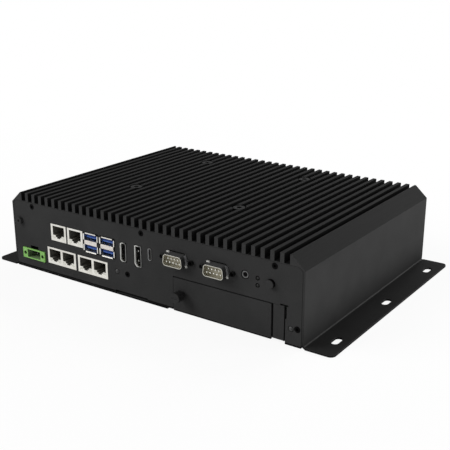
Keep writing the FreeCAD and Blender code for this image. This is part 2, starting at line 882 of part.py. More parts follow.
def front_panel():
    owner = body("FrontPanelBody")
    drawn = sketch(owner, "XZ", "front_y")
    panel_outline(drawn, "panel_edge", "panel_high", "cover_top")
    pad(owner, drawn, "panel_sheet")
    drawn = sketch(owner, "XY", "cover_top")
    lip_x = ("-panel_edge + panel_lip", "notch_left - panel_lip / 2")
    rectangle(drawn, lip_x, ("front_y", "panel_in + panel_lip"))
    pad(owner, drawn, "panel_sheet")
    drawn = sketch(owner, "XZ", "front_y")
    panel_sockets(drawn)
    pocket(owner, drawn, "panel_sheet")
    drawn = sketch(owner, "XZ", "front_y")
    bay_notch(drawn)
    rectangle(drawn, ("notch_left", "notch_right"), ("cover_gap", "cover_top + notch_height"))
    header_top = "header_z + header_height / 2"
    rectangle(drawn, centred("header_x + header_slot_shift", "header_slot_width"),
              (header_top, f"{header_top} + port_gap + header_slot_height"))
    pocket(owner, drawn, "panel_sheet")
    soften(owner, "fold_radius", lambda edge: runs_along(edge, "x")
           and abs(edge.BoundBox.YMin - value("front_y")) < 0.01
           and abs(edge.BoundBox.ZMin - value("cover_top")) < 0.01
           and edge.BoundBox.XMax < value("notch_left + fold_radius"))
    tools = sunk_holes(front_screw_spots(), "back", "panel_sheet")
    tools += [serial_prism(x, "shell_gap", "front_y", "panel_sheet") for x in ("serial_a_x", "serial_b_x")]
    tools += [rod(spot, "up", "tapped_hole", "panel_sheet") for spot in cover_spots()["front"]]
    node("front_panel", cut(owner, tools))


def plug_spots(level):
    return [(f"{i} * plug_pitch / 2", level, "plug_z") for i in (-3, -1, 1, 3)]


def rear_panel():
    owner = body("RearPanelBody")
    drawn = sketch(owner, "XZ", "rear_in")
    panel_outline(drawn, "panel_edge", "panel_high", "cover_top")
    pad(owner, drawn, "panel_sheet")
    drawn = sketch(owner, "XY", "cover_top")
    rectangle(drawn, ("-panel_edge + panel_lip", "panel_edge - panel_lip"), ("rear_in - panel_lip", "rear_y"))
    pad(owner, drawn, "panel_sheet")
    drawn = sketch(owner, "XZ", "rear_in")
    for x, _, z in plug_spots("rear_y"):
        circle(drawn, x, z, "plug_hole_radius + hole_gap")
    pocket(owner, drawn, "panel_sheet")
    soften(owner, "fold_radius", lambda edge: runs_along(edge, "x")
           and abs(edge.BoundBox.YMax - value("rear_y")) < 0.01
           and abs(edge.BoundBox.ZMin - value("cover_top")) < 0.01
           and edge.BoundBox.XLength > value("half_width"))
    tools = sunk_holes(top_screw_spots("rear_y"), "front", "panel_sheet")
    tools += [rod(spot, "up", "tapped_hole", "panel_sheet") for spot in cover_spots()["rear"]]
    node("rear_panel", cut(owner, tools))


def antenna_plugs():
    plugs = []
    for spot in plug_spots("rear_y"):
        inner = (spot[0], "rear_y - plug_length", spot[2])
        head = rod(spot, "back", "plug_radius", "plug_rise")
        stem = rod(inner, "back", "plug_hole_radius", "plug_length")
        plugs.append(join([head, stem]))
    node("antenna_plugs", group(plugs))


# Side walls: sheet that folds outwards at the bottom into a slotted flange, held by cleats under the heatsink

def ordered(side, near, far):
    ends = (f"{side} * ({near})", f"{side} * ({far})")
    return ends if side > 0 else ends[::-1]


def side_wall(label, side):
    owner = body("WallBody")
    drawn = sketch(owner, "XZ", "front_y")
    corners = [("wall_in", "0", "outer_fold"), ("half_width + flange_width", "0"),
               ("half_width + flange_width", "wall_sheet"), ("half_width", "wall_sheet", "fold_radius"),
               ("half_width", "shoulder_z"), ("wall_in", "shoulder_z")]
    mirrored = [(f"{side} * ({corner[0]})", *corner[1:]) for corner in corners]
    outline(drawn, mirrored if side > 0 else mirrored[::-1])
    pad(owner, drawn, "body_depth")
    drawn = sketch(owner, "XY", "wall_sheet")
    slot_x = f"{side} * (half_width + slot_inset)"
    for i in (-1, 0, 1):
        long_slot(drawn, slot_x, f"{i} * slot_pitch", "slot_length", "slot_width")
    pocket(owner, drawn, "wall_sheet")
    drawn = sketch(owner, "XY", "outer_fold")
    for y_span in (("front_y", "front_y + relief_width"), ("rear_y - relief_width", "rear_y")):
        rectangle(drawn, ordered(side, "wall_in", "half_width + fold_radius"), y_span)
    pocket(owner, drawn, "outer_fold")
    soften(owner, "flange_corner", lambda edge: runs_along(edge, "z")
           and abs(side * edge.CenterOfMass.x - value("half_width + flange_width")) < 0.01)
    node(label, owner)


def wall_cleats():
    cleats = []
    for i, (x, y, _) in enumerate(cleat_spots("0")):
        side = -1 if i < 3 else 1
        y_span = centred(y, "cleat_length")
        top = block(ordered(side, "wall_in - cleat_width", "wall_in"), y_span, ("cleat_low", "slab_low"))
        leg = block(ordered(side, "wall_in - cleat_sheet", "wall_in"), y_span,
                    ("slab_low - cleat_height", "slab_low"))
        cleats.append(cut(join([top, leg]), [rod((x, y, "cleat_low"), "up", "shank_hole", "cleat_sheet")]))
    node("wall_cleats", group(cleats))


# Bottom cover and its screws

def cover_spots():
    lip_end = "panel_edge - panel_lip"
    front = [(f"{i} * cover_screw_inset - ({lip_end})", "panel_in + lip_screw_setback", "cover_top")
             for i in (1, 3)]
    rear = [(f"{i} * ({lip_end} - cover_screw_inset)", "rear_in - lip_screw_setback", "cover_top")
            for i in (-1, 0, 1)]
    feet = [(x, y, "cover_top") for x in ("cage_left - cage_foot / 2", "cage_right + cage_foot / 2")
            for y in ("tab_front + cover_screw_inset", "cage_back - cover_screw_inset")]
    return {"front": front, "rear": rear, "feet": feet}


def cover_screw_spots():
    return [(x, y, "cover_gap") for spots in cover_spots().values() for x, y, _ in spots]


def lower_post_spots(level):
    return [(x, y, level) for x in ("lower_left + post_inset", "lower_right - post_inset")
            for y in ("board_front + post_inset + jack_depth", "board_front + lower_depth - post_inset")]


def bottom_cover():
    owner = body("CoverBody")
    drawn = sketch(owner, "XY", "cover_gap")
    recess_left, recess_back = "bay_left - recess_margin", "front_y + cover_recess"
    outline(drawn, [("-panel_edge", "front_y"), (recess_left, "front_y"), (recess_left, recess_back),
                    ("bay_right", recess_back), ("bay_right", "front_y"), ("panel_edge", "front_y"),
                    ("panel_edge", "rear_y"), ("-panel_edge", "rear_y")])
    pad(owner, drawn, "cover_sheet")
    node("bottom_cover", cut(owner, sunk_holes(cover_screw_spots(), "up", "cover_sheet")))


def case_screws():
    master = sunk_screw()
    linked = copies(master, front_screw_spots(), "front")
    linked += copies(master, top_screw_spots("rear_y"), "back")
    linked += copies(master, cover_screw_spots(), "down")
    node("case_screws", group(linked))


def panel_fasteners():
    studs = []
    for x, y, z in stud_spots():
        dome = doc.addObject("Part::Sphere", "Dome")
        bind(dome, "Radius", "stud_radius")
        place(dome, (x, "front_y - stud_rise + stud_radius", z), "front")
        front_half = block(centred(x, "3 * stud_radius"), ("front_y - stud_radius", "panel_in"),
                           centred(z, "3 * stud_radius"))
        cap = doc.addObject("Part::Common", "StudCap")
        cap.Base = dome
        cap.Tool = front_half
        studs.append(cap)
    nuts = [cut(rod((x, "panel_in", z), "back", "nut_radius", "nut_length"),
                [rod((x, "panel_in", z), "back", "tapped_hole", "nut_length")])
            for x, z in (("screw_b_x", "screw_b_z"), ("screw_d_x", "screw_d_z"), ("ground_x", "ground_z"))]
    node("panel_inserts", group(studs + nuts))
    master = cap_screw("cap_length", "cap_radius", "cap_height")
    node("ground_screw", group(copies(master, [("ground_x", "front_y", "ground_z")], "front")))
    clamp_screw = cap_screw("slab_thick + cap_length", "cap_radius", "cap_height")
    node("heatsink_screws", group(copies(clamp_screw, clamp_spots("root_z"), "up")))
    inner = copies(master, cleat_spots("cleat_low"), "down")
    inner += copies(master, clamp_spots("main_low"), "down")
    node("inner_screws", group(inner))


# Boards, posts and what they carry

def boards():
    main = block(("main_left", "main_right"), ("board_front", "board_front + main_depth"),
                 ("main_low", "main_top"))
    socket = block(centred("clamp_x", "memory_socket_width"),
                   ("memory_back - memory_socket_depth", "memory_back"),
                   ("main_top", "main_top + memory_lift"))
    bores = [rod(spot, "up", "shank_hole", "board_sheet") for spot in clamp_spots("main_low")]
    node("main_board", cut(join([main, socket]), bores))
    lower = block(("lower_left", "lower_right"), ("board_front", "board_front + lower_depth"),
                  ("lower_low", "lower_top"))
    node("lower_board", lower)
    upper = block(("upper_left", "upper_right"), ("board_front", "board_front + upper_depth"),
                  ("upper_low", "upper_top"))
    node("upper_board", upper)
    posts = [cut(hex_rod(spot, "up", "post_radius", "slab_low - main_top"),
                 [rod(spot, "up", "tapped_hole", "slab_low - main_top")]) for spot in clamp_spots("main_top")]
    posts += [hex_rod(spot, "up", "post_radius", "lower_low - cover_top")
              for spot in lower_post_spots("cover_top")]
    posts += [hex_rod((x, y, "main_top"), "up", "post_radius", "upper_low - main_top")
              for x in ("upper_left + post_inset", "upper_right - post_inset")
              for y in ("board_front + post_inset", "board_front + upper_depth - post_inset")]
    node("standoffs", group(posts))
    link_y = "board_front + jack_depth + 2 * post_inset + link_width / 2"
    link = block(centred("twin_a_x", "link_length"), centred(link_y, "link_width"), ("lower_top", "main_low"))
    node("board_link", link)


def processor():
    chip = block(centred("clamp_x", "chip_width"), centred("clamp_y", "chip_width"), ("main_top", "chip_top"))
    node("processor", chip)
    column = block(centred("clamp_x", "block_width"), centred("clamp_y", "block_width"),
                   ("chip_top + pad_sheet", "slab_low - pad_sheet"))
    node("heat_block", column)
    pads = [block(centred("clamp_x", "chip_width"), centred("clamp_y", "chip_width"),
                  ("chip_top", "chip_top + pad_sheet")),
            block(centred("clamp_x", "block_width"), centred("clamp_y", "block_width"),
                  ("slab_low - pad_sheet", "slab_low"))]
    node("thermal_pads", group(pads))
    card = block(centred("clamp_x", "memory_width"), ("memory_back - memory_depth", "memory_back"),
                 ("main_top + memory_lift", "main_top + memory_lift + memory_sheet"))
    node("memory_module", card)


# Network jacks: a sheet shield, an insert with a stepped mouth, spring contacts and lamp windows

def mouth_parts(x, z, depth):
    steps = []
    high = f"{z} + mouth_top"
    for width, height in (("mouth_width", "mouth_height"), ("latch_width", "latch_height"),
                          ("latch_tip_width", "latch_tip_height")):
        low = f"{high} - {height}"
        steps.append(block(centred(x, width), ("front_y", depth), (low, high)))
        high = low
    return join(steps)


def lamp_spots(x, z):
    drop = "mouth_height + (latch_height + latch_tip_height) / 2 + shield_sheet"
    return [(f"{x} + {i} * (mouth_width - lamp_width) / 2", f"{z} + mouth_top - ({drop})") for i in (-1, 1)]


def network_jack(label, x, z, width, ports, board_top):
    centres = [f"{x} + {i} * port_pitch / 2" for i in ports]
    back = "front_y + jack_depth"
    inner_x = centred(x, f"{width} - 2 * shield_sheet")
    outer = block(centred(x, width), ("front_y", back), centred(z, "jack_height"))
    core = block(inner_x, ("front_y + shield_sheet", back), centred(z, "jack_height - 2 * shield_sheet"))
    stand = block(inner_x, ("board_front", back), (board_top, z))
    filling = join([core, stand])
    holes = [mouth_parts(centre, z, "front_y + mouth_depth") for centre in centres]
    holes += [block(centred(lamp_x, "lamp_width"), ("front_y", "front_y + lamp_length"),
                    centred(lamp_z, "lamp_height"))
              for centre in centres for lamp_x, lamp_z in lamp_spots(centre, z)]
    node(f"{label}_shield", cut(outer, [join([filling] + holes)]))
    node(f"{label}_insert", cut(filling, holes))
    return centres


def network_jacks():
    contacts = []
    lamps = []
    jacks = [("jack_a", "jack_a_x", "jack_z", "jack_width", (0,), "main_top"),
             ("jack_b", "jack_b_x", "jack_z", "jack_width", (0,), "main_top"),
             ("twin_jack_a", "twin_a_x", "twin_z", "twin_width", (-1, 1), "lower_top"),
             ("twin_jack_b", "twin_b_x", "twin_z", "twin_width", (-1, 1), "lower_top")]
    for label, x, z, width, ports, board_top in jacks:
        for centre in network_jack(label, x, z, width, ports, board_top):
            top = f"{z} + mouth_top"
            for i in range(int(value("contact_count"))):
                spring_x = f"{centre} + ({i} - (contact_count - 1) / 2) * contact_pitch"
                contacts.append(block(centred(spring_x, "contact_width"),
                                      ("front_y + mouth_depth - contact_length", "front_y + mouth_depth"),
                                      (f"{top} - contact_thick", top)))
            for lamp_x, lamp_z in lamp_spots(centre, z):
                lamps.append(block(centred(lamp_x, "lamp_width"), ("front_y", "front_y + lamp_length"),
                                   centred(lamp_z, "lamp_height")))
    node("network_contacts", group(contacts))
    node("network_lamps", group(lamps))


# Data sockets: two in one shield, one above the other, with a tongue in each mouth

def stack_levels():
    return [f"stack_z + {i} * stack_pitch / 2" for i in (-1, 1)]


def data_stack(label, x):
    back = "front_y + stack_depth"
    inner_x = centred(x, "stack_width - 2 * shield_sheet")
    outer = block(centred(x, "stack_width"), ("front_y - port_proud", back),
                  centred("stack_z", "stack_height"))
    mouths = [block(centred(x, "data_mouth_width"), ("front_y - port_proud", "front_y + data_mouth_depth"),
                    centred(level, "data_mouth_height")) for level in stack_levels()]
    core = block(inner_x, ("front_y + data_mouth_depth", back),
                 centred("stack_z", "stack_height - 2 * shield_sheet"))
    stand = block(inner_x, ("board_front + data_mouth_depth", back), ("main_top", "stack_z"))
    tongues = [block(centred(x, "tongue_width"), ("front_y + tongue_recess", "front_y + data_mouth_depth"),
                     (f"{level} + data_mouth_height / 2 - tongue_drop - tongue_thick",
                      f"{level} + data_mouth_height / 2 - tongue_drop")) for level in stack_levels()]
    filling = join([core, stand])
    node(f"{label}_shield", cut(outer, [join([filling] + mouths)]))
    node(f"{label}_tongues", join([filling] + tongues))


# Upright video sockets: one shell has round corners and the other a cut one, each with a contact tongue

def video_outline(drawn, x, z, width, height, inset, corner, cut_corner):
    left, right = centred(x, f"{width} - 2 * {inset}")
    low, high = centred(z, f"{height} - 2 * {inset}")
    radius = f"{corner} - {inset}"
    start = [(left, low, radius)]
    if cut_corner:
        start = [(left, f"{low} + video_chamfer"), (f"{left} + video_chamfer", low)]
    outline(drawn, start + [(right, low, radius), (right, high, radius), (left, high, radius)])


def video_socket(label, x, z, width, height, corner, cut_corner):
    owner = body("VideoBody")
    drawn = sketch(owner, "XZ", "front_y - port_proud")
    video_outline(drawn, x, z, width, height, "0", corner, cut_corner)
    pad(owner, drawn, "video_depth + port_proud")
    drawn = sketch(owner, "XZ", "front_y - port_proud")
    video_outline(drawn, x, z, width, height, "video_wall", corner, cut_corner)
    pocket(owner, drawn, "video_mouth_depth + port_proud")
    stand = block(centred(x, width), ("front_y + video_mouth_depth", "front_y + video_depth"),
                  ("main_top", z))
    node(f"{label}_shell", join([owner, stand]))
    return block(centred(x, "video_tongue_thick"), ("front_y + tongue_recess", "front_y + video_mouth_depth"),
                 centred(z, "video_tongue_height"))


def video_sockets():
    tongues = [video_socket("video_socket_a", "video_a_x", "video_a_z", "video_a_width", "video_a_height",
                            "video_a_corner", False),
               video_socket("video_socket_b", "video_b_x", "video_b_z", "video_b_width", "video_b_height",
                            "video_b_corner", True)]
    node("video_tongues", group(tongues))


def oval_socket():
    owner = body("OvalBody")
    drawn = sketch(owner, "XZ", "front_y - port_proud")
    long_slot(drawn, "oval_x", "oval_z", "oval_height", "oval_width")
    pad(owner, drawn, "oval_depth + port_proud")
    drawn = sketch(owner, "XZ", "front_y - port_proud")
    long_slot(drawn, "oval_x", "oval_z", "oval_height - 2 * oval_wall", "oval_width - 2 * oval_wall")
    pocket(owner, drawn, "oval_depth + port_proud - oval_wall")
    stand = block(centred("oval_x", "oval_width"), ("front_y + oval_depth", "front_y + video_depth"),
                  ("main_top", "oval_z + oval_height / 2"))
    node("oval_socket_shell", join([owner, stand]))
    tongue = block(centred("oval_x", "oval_tongue_thick"),
                   ("front_y + tongue_recess", "front_y + oval_depth - oval_wall"),
                   centred("oval_z", "oval_tongue_height"))
    node("oval_socket_tongue", tongue)


# Serial ports: a drawn shell on a plate behind the panel, an insulator with nine pins, jack screws

def serial_pin_spots(x):
    lower = [(f"{x} + {i} * pin_pitch", "serial_z - pin_row_gap / 2") for i in (-2, -1, 0, 1, 2)]
    upper = [(f"{x} + {i} * pin_pitch / 2", "serial_z + pin_row_gap / 2") for i in (-3, -1, 1, 3)]
    return lower + upper


def serial_screw_spots(level):
    return [(f"{x} + {i} * jack_screw_span / 2", level, "serial_z")
            for x in ("serial_a_x", "serial_b_x") for i in (-1, 1)]


def serial_ports():
    insulators = []
    pins = []
    reach = "panel_in - front_y + shell_proud + shell_plate_sheet"
    plate_back = "panel_in + shell_plate_sheet"
    pin_tip = "front_y - shell_proud + pin_recess"
    pin_seat = f"{plate_back} - insulator_depth"
    for label, x in (("serial_port_a", "serial_a_x"), ("serial_port_b", "serial_b_x")):
        plate = block(centred(x, "shell_plate_width"), ("panel_in", plate_back),
                      centred("serial_z", "shell_plate_height"))
        sleeve = serial_prism(x, "0", "front_y - shell_proud", reach)
        hollow = serial_prism(x, "-shell_wall", "front_y - shell_proud", reach)
        bores = [rod((f"{x} + {i} * jack_screw_span / 2", "panel_in", "serial_z"), "back", "shank_hole",
                     "shell_plate_sheet") for i in (-1, 1)]
        node(f"{label}_shell", cut(join([plate, sleeve]), [hollow] + bores))
        filler = serial_prism(x, "-shell_wall", pin_seat, "insulator_depth")
        seat = block(centred(x, "shell_width"), (plate_back, f"{plate_back} + shell_body_depth"),
                     ("upper_top", "serial_z + shell_height / 2"))
        insulators.append(join([filler, seat]))
        for px, pz in serial_pin_spots(x):
            pins.append(rod((px, pin_tip, pz), "back", "pin_radius", f"{pin_seat} - ({pin_tip})"))
    node("serial_insulators", group(insulators))
    node("serial_pins", group(pins))
    screws = []
    for x, _, z in serial_screw_spots("0"):
        head = hex_rod((x, "front_y", z), "front", "jack_screw_radius", "jack_screw_rise")
        shank = rod((x, "front_y", z), "back", "thread_radius", "cap_length")
        mouth = rod((x, "front_y - jack_screw_rise", z), "back", "thread_radius", "jack_screw_rise")
        screws.append(cut(join([head, shank]), [mouth]))
    node("serial_jack_screws", group(screws))


# Audio jack, status lamps, power button and its switch

def audio_jack():
    bore_y = "front_y - audio_proud"
    ring = rod(("audio_x", bore_y, "audio_z"), "back", "audio_ring_radius", "audio_proud + panel_sheet")
    case = block(centred("audio_x", "audio_width"), ("panel_in", "panel_in + audio_depth"),
                 ("upper_top", "audio_z + audio_head"))
    bore = rod(("audio_x", bore_y, "audio_z"), "back", "audio_bore_radius", "audio_proud + audio_bore_depth")
    node("audio_jack", cut(join([ring, case]), [bore]))


def status_lamps():
    lamps = []
    for i in (-1, 1):
        z = f"lamp_z + {i} * lamp_pitch / 2"
        stem = rod(("lamp_x", "front_y", z), "back", "lamp_radius", "panel_sheet")
        dome = doc.addObject("Part::Sphere", "LampDome")
        bind(dome, "Radius", "lamp_radius")
        place(dome, ("lamp_x", "front_y - lamp_proud + lamp_radius", z), "front")
        room = block(centred("lamp_x", "3 * lamp_radius"), ("front_y - lamp_radius", "front_y"),
                     centred(z, "3 * lamp_radius"))
        cap = doc.addObject("Part::Common", "LampCap")
        cap.Base = dome
        cap.Tool = room
        lamps.append(join([stem, cap]))
    node("status_lamps", group(lamps))
    holder = block(centred("lamp_x", "lamp_holder_width"), ("panel_in", "panel_in + lamp_holder_depth"),
                   ("upper_top", "lamp_z + lamp_pitch / 2 + lamp_radius + board_gap"))
    node("lamp_holder", holder)


def power_button():
    collar_front = "panel_in + seam_gap"
    collar_back = f"{collar_front} + button_collar_sheet"
    spot = ("button_x", "front_y - button_proud", "button_z")
    cap = rod(spot, "back", "button_radius", f"{collar_back} - front_y + button_proud")
    collar = rod(("button_x", collar_front, "button_z"), "back", "button_radius + button_collar",
                 "button_collar_sheet")
    stem = rod(("button_x", collar_back, "button_z"), "back", "button_stem_radius", "button_stem_length")
    owner = join([cap, collar, stem])
    node("power_button", owner)
    switch_front = f"{collar_back} + button_travel + switch_space"
    case = block(centred("button_x", "switch_width"), (switch_front, f"{switch_front} + switch_depth"),
                 ("upper_top", "button_z + switch_width / 2"))
    bore = rod(("button_x", switch_front, "button_z"), "back", "button_stem_radius + button_gap",
               "button_stem_length")
    node("power_switch", cut(case, [bore]))


# Power header: a green shell with a screw ear at each end and three square contacts

def power_header():
    front, back = "front_y - header_proud", "front_y + header_depth"
    outer = block(centred("header_x", "header_width"), (front, back), centred("header_z", "header_height"))
    mouth = block(centred("header_x", "header_width - 2 * header_ear"),
                  (front, "front_y + header_mouth_depth"),
                  centred("header_z", "header_height - 2 * header_wall"))
    ears = [rod((f"header_x + {i} * (header_width - header_ear) / 2", front, "header_z"), "back",
                "ear_hole_radius", "header_mouth_depth") for i in (-1, 1)]
    contacts = [block(centred(f"header_x + {i} * power_pin_pitch", "power_pin"),
                      ("front_y + header_mouth_depth - power_pin_length", back),
                      centred("header_z", "power_pin")) for i in (-1, 0, 1)]
    node("power_header", cut(outer, [join([mouth] + ears)] + contacts))
    node("power_contacts", group(contacts))


# Drive bay: a tray with a flush face, its thumbscrew, the drive, and a folded cage that guides it

def drive_tray():
    owner = body("TrayBody")
    drawn = sketch(owner, "XZ", "front_y")
    rectangle(drawn, ("door_left", "door_right"), ("door_low", "door_top"))
    pad(owner, drawn, "panel_sheet")
    drawn = sketch(owner, "XY", "tray_low")
    rectangle(drawn, ("tray_left", "tray_right"), ("front_y", "tray_back"))
    pad(owner, drawn, "tray_sheet")
    drawn = sketch(owner, "XY", "tray_low")
    for span in (("tray_left", "tray_left + tray_sheet"), ("tray_right - tray_sheet", "tray_right")):
        rectangle(drawn, span, ("front_y + drive_setback", "tray_back"))
    pad(owner, drawn, "tray_side")
    drawn = sketch(owner, "XZ", "front_y")
    circle(drawn, "thumb_x", "thumb_z", "thumb_shank_radius + hole_gap")
    pocket(owner, drawn, "panel_sheet")
    drawn = sketch(owner, "XY", "floor_top")
    for x, y, _ in drive_screw_spots("0"):
        circle(drawn, x, y, "shank_hole")
    pocket(owner, drawn, "tray_sheet")
    soften(owner, "tray_fold", lambda edge: runs_along(edge, "y")
           and abs(edge.BoundBox.ZMin - value("tray_low")) < 0.01
           and edge.BoundBox.YLength > value("drive_depth"))
    node("drive_tray", owner)


def drive_screw_spots(level):
    return [(f"drive_x + {i} * (drive_width / 2 - drive_hole_inset)",
             f"drive_front + drive_hole_start + {j} * drive_hole_span", level)
            for i in (-1, 1) for j in (0, 1)]


def storage_drive():
    owner = body("DriveBody")
    drawn = sketch(owner, "XY", "floor_top")
    x_span = centred("drive_x", "drive_width")
    rectangle(drawn, x_span, ("drive_front", "drive_back"))
    pad(owner, drawn, "drive_height")
    drawn = sketch(owner, "XY", "drive_top")
    rectangle(drawn, centred("drive_x", "drive_key_width"), ("drive_back - drive_key_depth", "drive_back"))
    pocket(owner, drawn, "drive_height / 2")
    drawn = sketch(owner, "XY", "floor_top")
    for x, y, _ in drive_screw_spots("0"):
        circle(drawn, x, y, "tapped_hole")
    pocket(owner, drawn, "drive_screw_length", flipped=True)
    soften(owner, "drive_corner", lambda edge: runs_along(edge, "z")
           and abs(abs(edge.CenterOfMass.x - value("drive_x")) - value("drive_width / 2")) < 0.01)
    node("storage_drive", owner)
    master = cap_screw("drive_screw_length + tray_sheet - thread_gap", "drive_head_radius",
                       "drive_head_height")
    node("drive_screws", group(copies(master, drive_screw_spots("tray_low"), "down")))


def drive_cage():
    deep = ("tab_front", "cage_back")
    tall = ("cover_top", "cage_top")
    fold_y = ("tab_front", "tab_front + cage_sheet")
    roof = block(("cage_left - cage_sheet", "cage_right + cage_sheet"), deep, ("cage_low", "cage_top"))
    walls = [block(("cage_left - cage_sheet", "cage_left"), deep, tall),
             block(("cage_right", "cage_right + cage_sheet"), deep, tall)]
    feet = [block(("cage_left - cage_foot", "cage_left"), deep, ("cover_top", "cover_top + cage_sheet")),
            block(("cage_right", "cage_right + cage_foot"), deep, ("cover_top", "cover_top + cage_sheet"))]
    tab = block(("cage_left", "cage_left + tab_width"), fold_y, ("tab_low", "cage_low"))
    strip = [block(("strip_left", "strip_right"), ("front_y", "front_y + cage_sheet"),
                   ("strip_low", "door_top")),
             block(("strip_right - cage_sheet", "strip_right"), ("front_y", "tab_front + cage_sheet"),
                   ("strip_low", "cage_top")),
             block(("cage_right", "strip_right"), fold_y, ("strip_low", "cage_top"))]
    holes = [rod(("thumb_x", "tab_front", "thumb_z"), "back", "thumb_shank_radius + thumb_shank_gap",
                 "cage_sheet")]
    holes += [rod(spot, "up", "tapped_hole", "cage_sheet") for spot in cover_spots()["feet"]]
    holes += [rod(spot, "up", "cap_radius + board_gap", "cage_sheet") for spot in clamp_spots("cage_low")]
    node("drive_cage", cut(join([roof, tab] + walls + feet + strip), holes))


def drive_riser():
    board = block(centred("drive_x", "riser_width"), ("riser_front", "riser_front + board_sheet"),
                  ("riser_low", "main_low"))
    socket = block(centred("drive_x", "drive_key_width"), ("socket_front", "riser_front"),
                   ("floor_top + board_gap", "drive_top"))
    node("drive_riser", join([board, socket]))


# The thumbscrew is modelled with its seat at the origin and its head up.
def tray_thumbscrew():
    owner = body("ThumbscrewBody")
    drawn = sketch(owner, "XZ")
    shank_end = "-(panel_sheet + tab_gap + 2 * cage_sheet)"
    ring_top = "-(panel_sheet + seam_gap)"
    ring_low = "-(panel_sheet + seam_gap + thumb_ring_sheet)"
    head_top = "thumb_neck_length + thumb_length"
    outline(drawn, [("0", shank_end), ("thumb_shank_radius", shank_end), ("thumb_shank_radius", ring_low),
                    ("thumb_ring_radius", ring_low), ("thumb_ring_radius", ring_top),
                    ("thumb_shank_radius", ring_top), ("thumb_shank_radius", "0"), ("thumb_neck_radius", "0"),
                    ("thumb_neck_radius", "thumb_neck_length"), ("thumb_radius", "thumb_neck_length"),
                    ("thumb_radius", head_top), ("0", head_top)])
    turned(owner, drawn)
    drawn = sketch(owner, "XY", head_top)
    outside = "thumb_radius + thumb_rib_depth"
    outline(drawn, [(outside, "-2 * thumb_rib_depth"), (outside, "2 * thumb_rib_depth"),
                    ("thumb_radius - thumb_rib_depth", "0")])
    groove = pocket(owner, drawn, "thumb_length")
    ribs = owner.newObject("PartDesign::PolarPattern", "Ribs")
    ribs.Originals = [groove]
    ribs.Axis = (origin(owner, "Z_Axis"), [""])
    ribs.Angle = 360
    bind(ribs, "Occurrences", "thumb_ribs")
    owner.Tip = ribs
    drawn = sketch(owner, "XY", head_top)
    rectangle(drawn, ("-thumb_radius", "thumb_radius"), centred("0", "thumb_slot_width"))
    pocket(owner, drawn, "thumb_slot_width")
    node("tray_thumbscrew", group(copies(owner, [("thumb_x", "front_y", "thumb_z")], "front")))


heatsink_cover()
front_panel()
rear_panel()
antenna_plugs()
side_wall("left_side_wall", -1)
side_wall("right_side_wall", 1)
wall_cleats()
bottom_cover()
case_screws()
panel_fasteners()
boards()
processor()
network_jacks()
data_stack("data_stack_a", "stack_a_x")
data_stack("data_stack_b", "stack_b_x")
video_sockets()
oval_socket()
serial_ports()
audio_jack()
status_lamps()
power_button()
power_header()
drive_tray()
storage_drive()
drive_cage()
drive_riser()
tray_thumbscrew()
doc.recompute()

for thing in doc.Objects:
    if {"Invalid", "Error"} & set(thing.State):
        raise RuntimeError(f"{thing.Label} failed: {thing.State}")
    if thing.TypeId == "PartDesign::Pocket" and thing.Shape.Volume >= thing.BaseFeature.Shape.Volume - 1e-6:
        raise RuntimeError(f"{thing.Label} cuts nothing")
for label, thing in nodes.items():
    if thing.Shape.isNull() or not thing.Shape.isValid():
        raise RuntimeError(f"{label} has no valid shape")

os.makedirs("parts", exist_ok=True)
for label, thing in nodes.items():
    thing.Shape.exportStep(f"parts/{label}.step")
print(len(nodes), "nodes,", sum(len(thing.Shape.Solids) for thing in nodes.values()), "solids")
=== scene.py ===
import json
import math
import bmesh
import bpy
from mathutils import Matrix, Vector


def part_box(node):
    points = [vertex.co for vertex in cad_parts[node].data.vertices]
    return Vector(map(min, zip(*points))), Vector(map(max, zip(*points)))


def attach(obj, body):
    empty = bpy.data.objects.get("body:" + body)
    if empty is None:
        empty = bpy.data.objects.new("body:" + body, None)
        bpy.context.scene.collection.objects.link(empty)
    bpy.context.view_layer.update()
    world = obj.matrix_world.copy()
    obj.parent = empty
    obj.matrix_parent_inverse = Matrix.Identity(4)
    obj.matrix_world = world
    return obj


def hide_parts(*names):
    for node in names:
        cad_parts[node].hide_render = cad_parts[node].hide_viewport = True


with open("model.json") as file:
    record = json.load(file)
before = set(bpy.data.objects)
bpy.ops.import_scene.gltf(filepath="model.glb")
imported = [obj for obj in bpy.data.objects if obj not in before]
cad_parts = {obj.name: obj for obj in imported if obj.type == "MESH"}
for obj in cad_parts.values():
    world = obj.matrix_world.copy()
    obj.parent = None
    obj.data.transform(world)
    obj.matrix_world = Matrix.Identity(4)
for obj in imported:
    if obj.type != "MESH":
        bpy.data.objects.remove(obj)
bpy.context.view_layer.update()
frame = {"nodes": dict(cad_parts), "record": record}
mm = 0.001
record = frame["record"]
slotOf = {row["node"]: row["material_slot"] for row in record["subparts"]}
bodyOf = {node: body for body, nodes in record["behaviour"]["bodies"].items() for node in nodes}
print("frame loaded,", len(frame["nodes"]), "nodes")


# shader maths: a link is an output socket, and sums of links add Math nodes

class Link:
    def __init__(self, tree, socket):
        self.tree = tree
        self.socket = socket

    def node(self, kind, settings, sockets, output=0):
        made = self.tree.nodes.new(kind)
        for name, setting in settings.items():
            setattr(made, name, setting)
        for name, given in sockets.items():
            if isinstance(given, Link):
                self.tree.links.new(given.socket, made.inputs[name])
            else:
                made.inputs[name].default_value = given
        return Link(self.tree, made.outputs[output])

    def maths(self, operation, first, second):
        return self.node("ShaderNodeMath", {"operation": operation}, {0: first, 1: second})

    def __add__(self, other):
        return self.maths("ADD", self, other)

    def __radd__(self, other):
        return self.maths("ADD", other, self)

    def __sub__(self, other):
        return self.maths("SUBTRACT", self, other)

    def __pow__(self, other):
        return self.maths("POWER", self, other)

    def __rsub__(self, other):
        return self.maths("SUBTRACT", other, self)

    def __mul__(self, other):
        return self.maths("MULTIPLY", self, other)

    def __rmul__(self, other):
        return self.maths("MULTIPLY", other, self)


